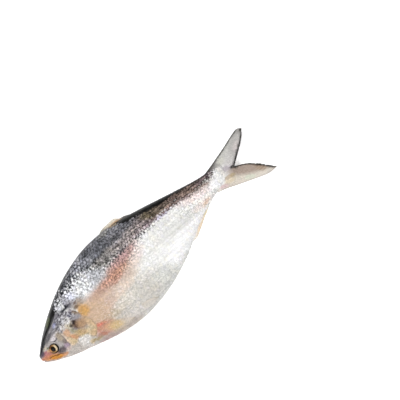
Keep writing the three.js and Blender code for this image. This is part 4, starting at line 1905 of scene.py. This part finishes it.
    def _spread(self, fan: Array, out: Array) -> Array:
        """Fills the outline between root, margin and leading edges.

        Args:
            fan: How far round the fan, from the lower lobe's edge to the upper's.
            out: How far out along the rays.

        Returns:
            s and t, one row for each place.
        """
        f, r = fan[:, None], out[:, None]
        low, high = curve_through(self.lower_edge, out), curve_through(self.upper_edge, out)
        root, margin = curve_through(self.root, fan), self._margin(fan)
        starts = [np.asarray(place, float) for place in (self.root[0], self.root[-1])]
        tips = [np.asarray(place, float) for place in (self.lower_edge[-1], self.upper_edge[-1])]
        flat = (1 - f) * ((1 - r) * starts[0] + r * tips[0]) + f * ((1 - r) * starts[1] + r * tips[1])
        return (1 - f) * low + f * high + (1 - r) * root + r * margin - flat

    def _toothed(self, fan: Array, out: Array) -> Array:
        """How far the hind margin is worn away between the tips of the rays."""
        first, second, third = self.teeth
        bare = np.sin(fan * first) * np.sin(fan * second + 1.3) + 0.6 * np.sin(fan * third)
        return self.tatter * bare * smooth(0.86, 1.0, out) * smooth(0, 0.06, fan) * smooth(1, 0.94, fan)


@dataclass
class Keel:
    """The row of scutes that sharpens the belly, from the throat to the vent."""

    form: BodyForm
    first: float = 82.0
    last: float = 262.0
    count: int = 30
    height: float = 1.1
    breadth: float = 2.2
    overlap: float = 0.62
    tip: float = 0.12
    sides: int = 10
    lean: float = -0.06
    inset: float = 0.75

    def build(self) -> bpy.types.Object:
        """Builds all the scutes as one piece."""
        bm = bmesh.new()
        places = np.linspace(self.first, self.last, self.count)
        pitch = places[1] - places[0]
        _, keel, _, _ = self.form.lines(places)
        for s, t in zip(places, keel):
            _, (next_keel,), _, _ = self.form.lines(np.asarray([s + pitch]))
            run = Vector((pitch, float(next_keel - t), 0)).normalized()
            made = bmesh.ops.create_cone(
                bm, cap_ends=True, segments=self.sides, radius1=1.0, radius2=self.tip, depth=2.0
            )["verts"]
            bmesh.ops.scale(bm, verts=made, vec=(self.breadth, self.height, pitch * self.overlap))
            turn = Vector((0, 0, 1)).rotation_difference(run).to_matrix().to_4x4()
            bmesh.ops.rotate(bm, verts=made, cent=(0, 0, 0), matrix=Matrix.Rotation(self.lean, 4, "X"))
            bmesh.ops.transform(bm, verts=made, matrix=turn)
            spot = self.form.lay(np.asarray(s), np.asarray(t + self.inset), np.asarray(0.0)).ravel()
            bmesh.ops.translate(bm, verts=made, vec=Vector(spot))
        mesh = rounded_mesh(bm, "scutes")
        return add_piece("keel_scutes", mesh, SkinFinish().material(), ["fish"])


@dataclass(frozen=True)
class EyeFinish(Finish):
    """A wet eye: black pupil, cream and gold iris, dark rim."""

    name: str = "wet eye"
    rim: str = "#0d0907"
    parts: tuple[Patch, ...] = (
        Patch("iris", (23.6, -3.9), (5.2, 5.7), 0, "#9c7a50", 1, 0.22),
        Patch("cream iris", (26.6, -4.8), (1.9, 4.2), -14, "#dcc8a4", 0.95, 0.8),
        Patch("orange corner", (18.9, -3.2), (2.0, 2.6), 0, "#c08a5e", 0.8, 0.9),
        Patch("brown lid", (21.4, 1.0), (3.4, 1.8), 0, "#4d3220", 0.85, 0.9),
        Patch("inner ring", (23.1, -3.9), (3.5, 4.3), 0, "#4a2c16", 0.9, 0.35),
        Patch("pupil", (23.1, -3.9), (2.7, 3.5), 0, "#030202", 1, 0.18),
    )

    def make(self) -> bpy.types.Material:
        """Builds the material."""
        p = Palette(self.name)
        base = p.lay_patches(p.stray(p.place(), 0.3, 0.6), self.rim, self.parts)
        fine = p.noise(p.solid_place(), 1.4, 4.0, 0.6)
        colour = p.shade(base, p.ease(fine, 0.25, 0.75, 0.8, 1.2))
        return p.close(
            Base_Color=colour,
            Roughness=p.ease(fine, 0.3, 0.7, 0.16, 0.3),
            IOR=1.25,
            Normal=p.bump(fine, 0.03),
            Coat_Weight=0.12,
            Coat_IOR=1.3,
            Coat_Roughness=0.05,
        )


@dataclass
class Eye:
    """One eye, sunk in its socket and turned to follow the cheek."""

    form: BodyForm
    flank: Flank
    s: float = 24.4
    t: float = -4.3
    radius: float = 6.9
    bulge: float = 3.2
    sunk: float = 1.4
    tilt: float = 0.2
    segments: tuple[int, int] = (72, 48)

    def build(self) -> bpy.types.Object:
        """Builds the eye."""
        side, (around, down) = self.flank.value, self.segments
        bm = bmesh.new()
        bmesh.ops.create_uvsphere(bm, u_segments=around, v_segments=down, radius=1.0)
        bmesh.ops.scale(bm, verts=bm.verts, vec=(self.radius, self.radius, self.bulge))
        turn = Matrix.Rotation(-side * self.tilt, 4, "Y")
        bmesh.ops.rotate(bm, verts=bm.verts, cent=(0, 0, 0), matrix=turn)
        s, t = np.asarray(self.s), np.asarray(self.t)
        spot = self.form.lay(s, t, side * (self.form.flank(s, t) - self.sunk)).ravel()
        bmesh.ops.translate(bm, verts=bm.verts, vec=Vector(spot))
        mesh = rounded_mesh(bm, "eye")
        word = self.flank.word
        return add_piece(f"ball_{word}", mesh, EyeFinish().material(), [f"eye_{word}"])


@dataclass
class Fins:
    """All fins but the tail."""

    form: BodyForm

    def build(self) -> None:
        """Builds the back fin, the vent fin and both pairs of flank fins."""
        fins = [self._back(), self._vent()]
        for flank in Flank:
            fins += [self._breast(flank), self._pelvic(flank)]
        for fin in fins:
            fin.build()

    def _back(self) -> Fin:
        """The back fin, folded down."""
        finish = FinFinish(
            "back fin",
            ((0.0, "#ddd8cc"), (0.4, "#e6dccb"), (0.72, "#cfae86"), (1.0, "#8f7a62")),
            rays=15.0,
            ray_strength=0.2,
            patches=(
                Patch("grey front", (175, 63), (12, 5), 10, "#a9a69d", 0.9, 0.9),
                Patch("tan base", (205, 59), (9, 3.5), -12, "#c69a66", 0.9, 0.9),
                Patch("grey hind part", (224, 56.5), (10, 5), -20, "#7a7976", 1, 0.6),
            ),
            strokes=(
                Stroke("black foot", ((196, 57), (207, 56), (220, 52.5), (232, 48.5)), 2.4, "#191817", 0.9),
            ),
        )
        leading = ((170, 62), (184, 67), (196, 67.2), (207, 66.2), (212, 61.4), (220, 58.8), (230, 53.4))
        trailing = ((170, 60), (182, 58), (195, 55), (207, 53), (212, 52), (220, 51), (230, 49))
        return self._folded("back_fin", leading, trailing, finish, 15, (1.2, 0.7))

    def _vent(self) -> Fin:
        """The vent fin, folded up."""
        leading = ((256, -32), (271, -32.4), (285, -26.2), (298, -19.8), (311, -14.2), (318, -8))
        finish = FinFinish(
            "vent fin",
            ((0.0, "#f3ede3"), (0.5, "#fbf8f4"), (1.0, "#fdfdfc")),
            rays=9.0,
            ray_strength=0.2,
            patches=(
                Patch("peach middle", (286, -24), (14, 2), 24, "#f0dabb", 0.8, 0.9),
                Patch("rosy end", (312, -9), (6, 2.6), 30, "#cf9a80", 0.9, 0.9),
                Patch("yellow end", (303, -15), (6, 1.8), 26, "#ead9a0", 0.7, 0.9),
            ),
            strokes=(Stroke("thin edge", leading[:-1], 1.4, "#bba88f", 0.6),),
        )
        trailing = ((256, -28), (271, -24), (285, -17), (298, -11), (311, -6), (318, -4))
        return self._folded("vent_fin", leading, trailing, finish, 9, (1.1, 0.7))

    def _folded(
        self, name: str, leading: Path, trailing: Path, finish: FinFinish, rays: int, half: Pair
    ) -> Fin:
        """A fin in the middle plane, whose rays are folded back along the body."""
        return Fin(
            self.form, name, leading, trailing, finish, rays, half, ridge=0.5, cut=FinCut.FOLDED, along=120
        )

    def _breast(self, flank: Flank) -> Fin:
        """A breast fin, folded along the flank behind the gill cover."""
        finish = FinFinish(
            "breast fin",
            ((0.0, "#c9a58c"), (0.3, "#d3b892"), (0.7, "#cfbd9c"), (1.0, "#b9a79c")),
            rays=14.0,
            ray_strength=0.1,
            flank_share=0.8,
            sparkle=0.4,
        )
        leading = ((87, -24), (107, -31), (125, -43), (135, -51.6))
        trailing = ((87, -34), (104, -46.4), (121, -52), (135, -51.6))
        name = f"breast_fin_{flank.word}"
        return Fin(
            self.form, name, leading, trailing, finish, 14, (0.8, 0.35), ridge=0.5, flank=flank, lift=0.35
        )

    def _pelvic(self, flank: Flank) -> Fin:
        """A pelvic fin, folded along the belly."""
        finish = FinFinish(
            "pelvic fin",
            ((0.0, "#e6dcce"), (0.5, "#d6cfc6"), (1.0, "#ebe4da")),
            rays=9.0,
            ray_strength=0.3,
            flank_share=0.25,
        )
        leading = ((152, -45), (164, -46.5), (178, -54))
        trailing = ((152, -52.4), (164, -56), (178, -54))
        name, half = f"pelvic_fin_{flank.word}", (0.8, 0.4)
        return Fin(
            self.form, name, leading, trailing, finish, 9, half, ridge=0.5, flank=flank, around=120, along=40
        )


@dataclass
class Studio:
    """A pale floor, soft light from above, and the camera over the fish."""

    middle: Pair = (0.0996, -0.0016)
    turn: float = -44.31
    height: float = 3.071
    lens: float = 200.0
    sensor: float = 36.0
    sees_to: float = 50.0
    floor_size: float = 6.0
    floor_drop: float = 0.0004
    dims_from: float = 0.7
    dims_to: float = 0.98
    dimmed: float = 0.3

    def build(self) -> None:
        """Builds floor, lights and camera."""
        self._floor()
        self._world()
        self._light("key", (-0.5, 1.3, 2.3), 1.3, 56.0).visible_glossy = False
        self._light("fill", (0.3, -1.3, 2.4), 1.6, 35.0)
        self._light("head side", (-1.8, -0.2, 1.9), 1.6, 13.0)
        self._camera()

    def _floor(self) -> None:
        """The pale floor."""
        bm = bmesh.new()
        bmesh.ops.create_grid(bm, x_segments=1, y_segments=1, size=self.floor_size / 2)
        bmesh.ops.translate(bm, verts=bm.verts, vec=(0, 0, -self.floor_drop))
        mesh = mesh_from(bm, "floor")
        p = Palette("studio floor")
        grain = p.noise(p.solid_place(), 0.02, 2.0)
        colour = p.shade("#fafafa", p.ease(grain, 0.3, 0.7, 0.985, 1.0))
        material = p.close(
            Base_Color=colour,
            Roughness=0.9,
            Specular_IOR_Level=0.1,
            Emission_Color=(1, 1, 1, 1),
            Emission_Strength=0.5,
        )
        mesh.materials.append(material)
        floor = bpy.data.objects.new("floor", mesh)
        bpy.context.scene.collection.objects.link(floor)

    def _world(self) -> None:
        """Even light from all round, dimmer from straight above."""
        world = bpy.data.worlds.new("studio")
        world.use_nodes = True
        tree = world.node_tree
        background = tree.nodes["Background"]
        way = tree.nodes.new("ShaderNodeTexCoord")
        parts = tree.nodes.new("ShaderNodeSeparateXYZ")
        fade = tree.nodes.new("ShaderNodeMapRange")
        fade.interpolation_type = "SMOOTHSTEP"
        numbers = {"From Min": self.dims_from, "From Max": self.dims_to, "To Min": 1, "To Max": self.dimmed}
        for key, value in numbers.items():
            fade.inputs[key].default_value = value
        tree.links.new(way.outputs["Generated"], parts.inputs[0])
        tree.links.new(parts.outputs["Z"], fade.inputs["Value"])
        tree.links.new(fade.outputs[0], background.inputs[1])
        bpy.context.scene.world = world
        bpy.context.scene.view_settings.view_transform = "Standard"

    def _light(
        self, name: str, place: tuple[float, float, float], size: float, power: float
    ) -> bpy.types.Object:
        """Hangs one soft lamp that faces the fish.

        Args:
            name: The lamp's name.
            place: Its place, in metres.
            size: Its width, in metres.
            power: Its power, in watts.

        Returns:
            The lamp.
        """
        lamp = bpy.data.lights.new(name, "AREA")
        lamp.shape = "DISK"
        lamp.size = size
        lamp.energy = power
        lamp_object = bpy.data.objects.new(name, lamp)
        lamp_object.location = place
        lamp_object.rotation_euler = (-Vector(place)).to_track_quat("-Z", "Y").to_euler()
        bpy.context.scene.collection.objects.link(lamp_object)
        return lamp_object

    def _camera(self) -> None:
        """The camera, straight above."""
        data = bpy.data.cameras.new("camera")
        data.lens = self.lens
        data.sensor_width = self.sensor
        data.clip_end = self.sees_to
        camera = bpy.data.objects.new("camera", data)
        camera.location = (*self.middle, self.height)
        camera.rotation_euler = (0, 0, math.radians(self.turn))
        bpy.context.scene.collection.objects.link(camera)
        bpy.context.scene.camera = camera


def main() -> None:
    """Builds the fish and its studio, piece by piece."""
    logging.basicConfig(level=logging.INFO, format="%(name)s %(message)s")
    Studio().build()
    Hide(FORM).build()
    ruler = SkinRuler(FORM)
    for flank in Flank:
        ScaleCoat(FORM, ruler, flank).build()
        GillCover(FORM, flank).build()
        Eye(FORM, flank).build()
    TailFin(FORM).build()
    Fins(FORM).build()
    Keel(FORM).build()
    bpy.context.view_layer.update()


if __name__ == "__main__":
    main()
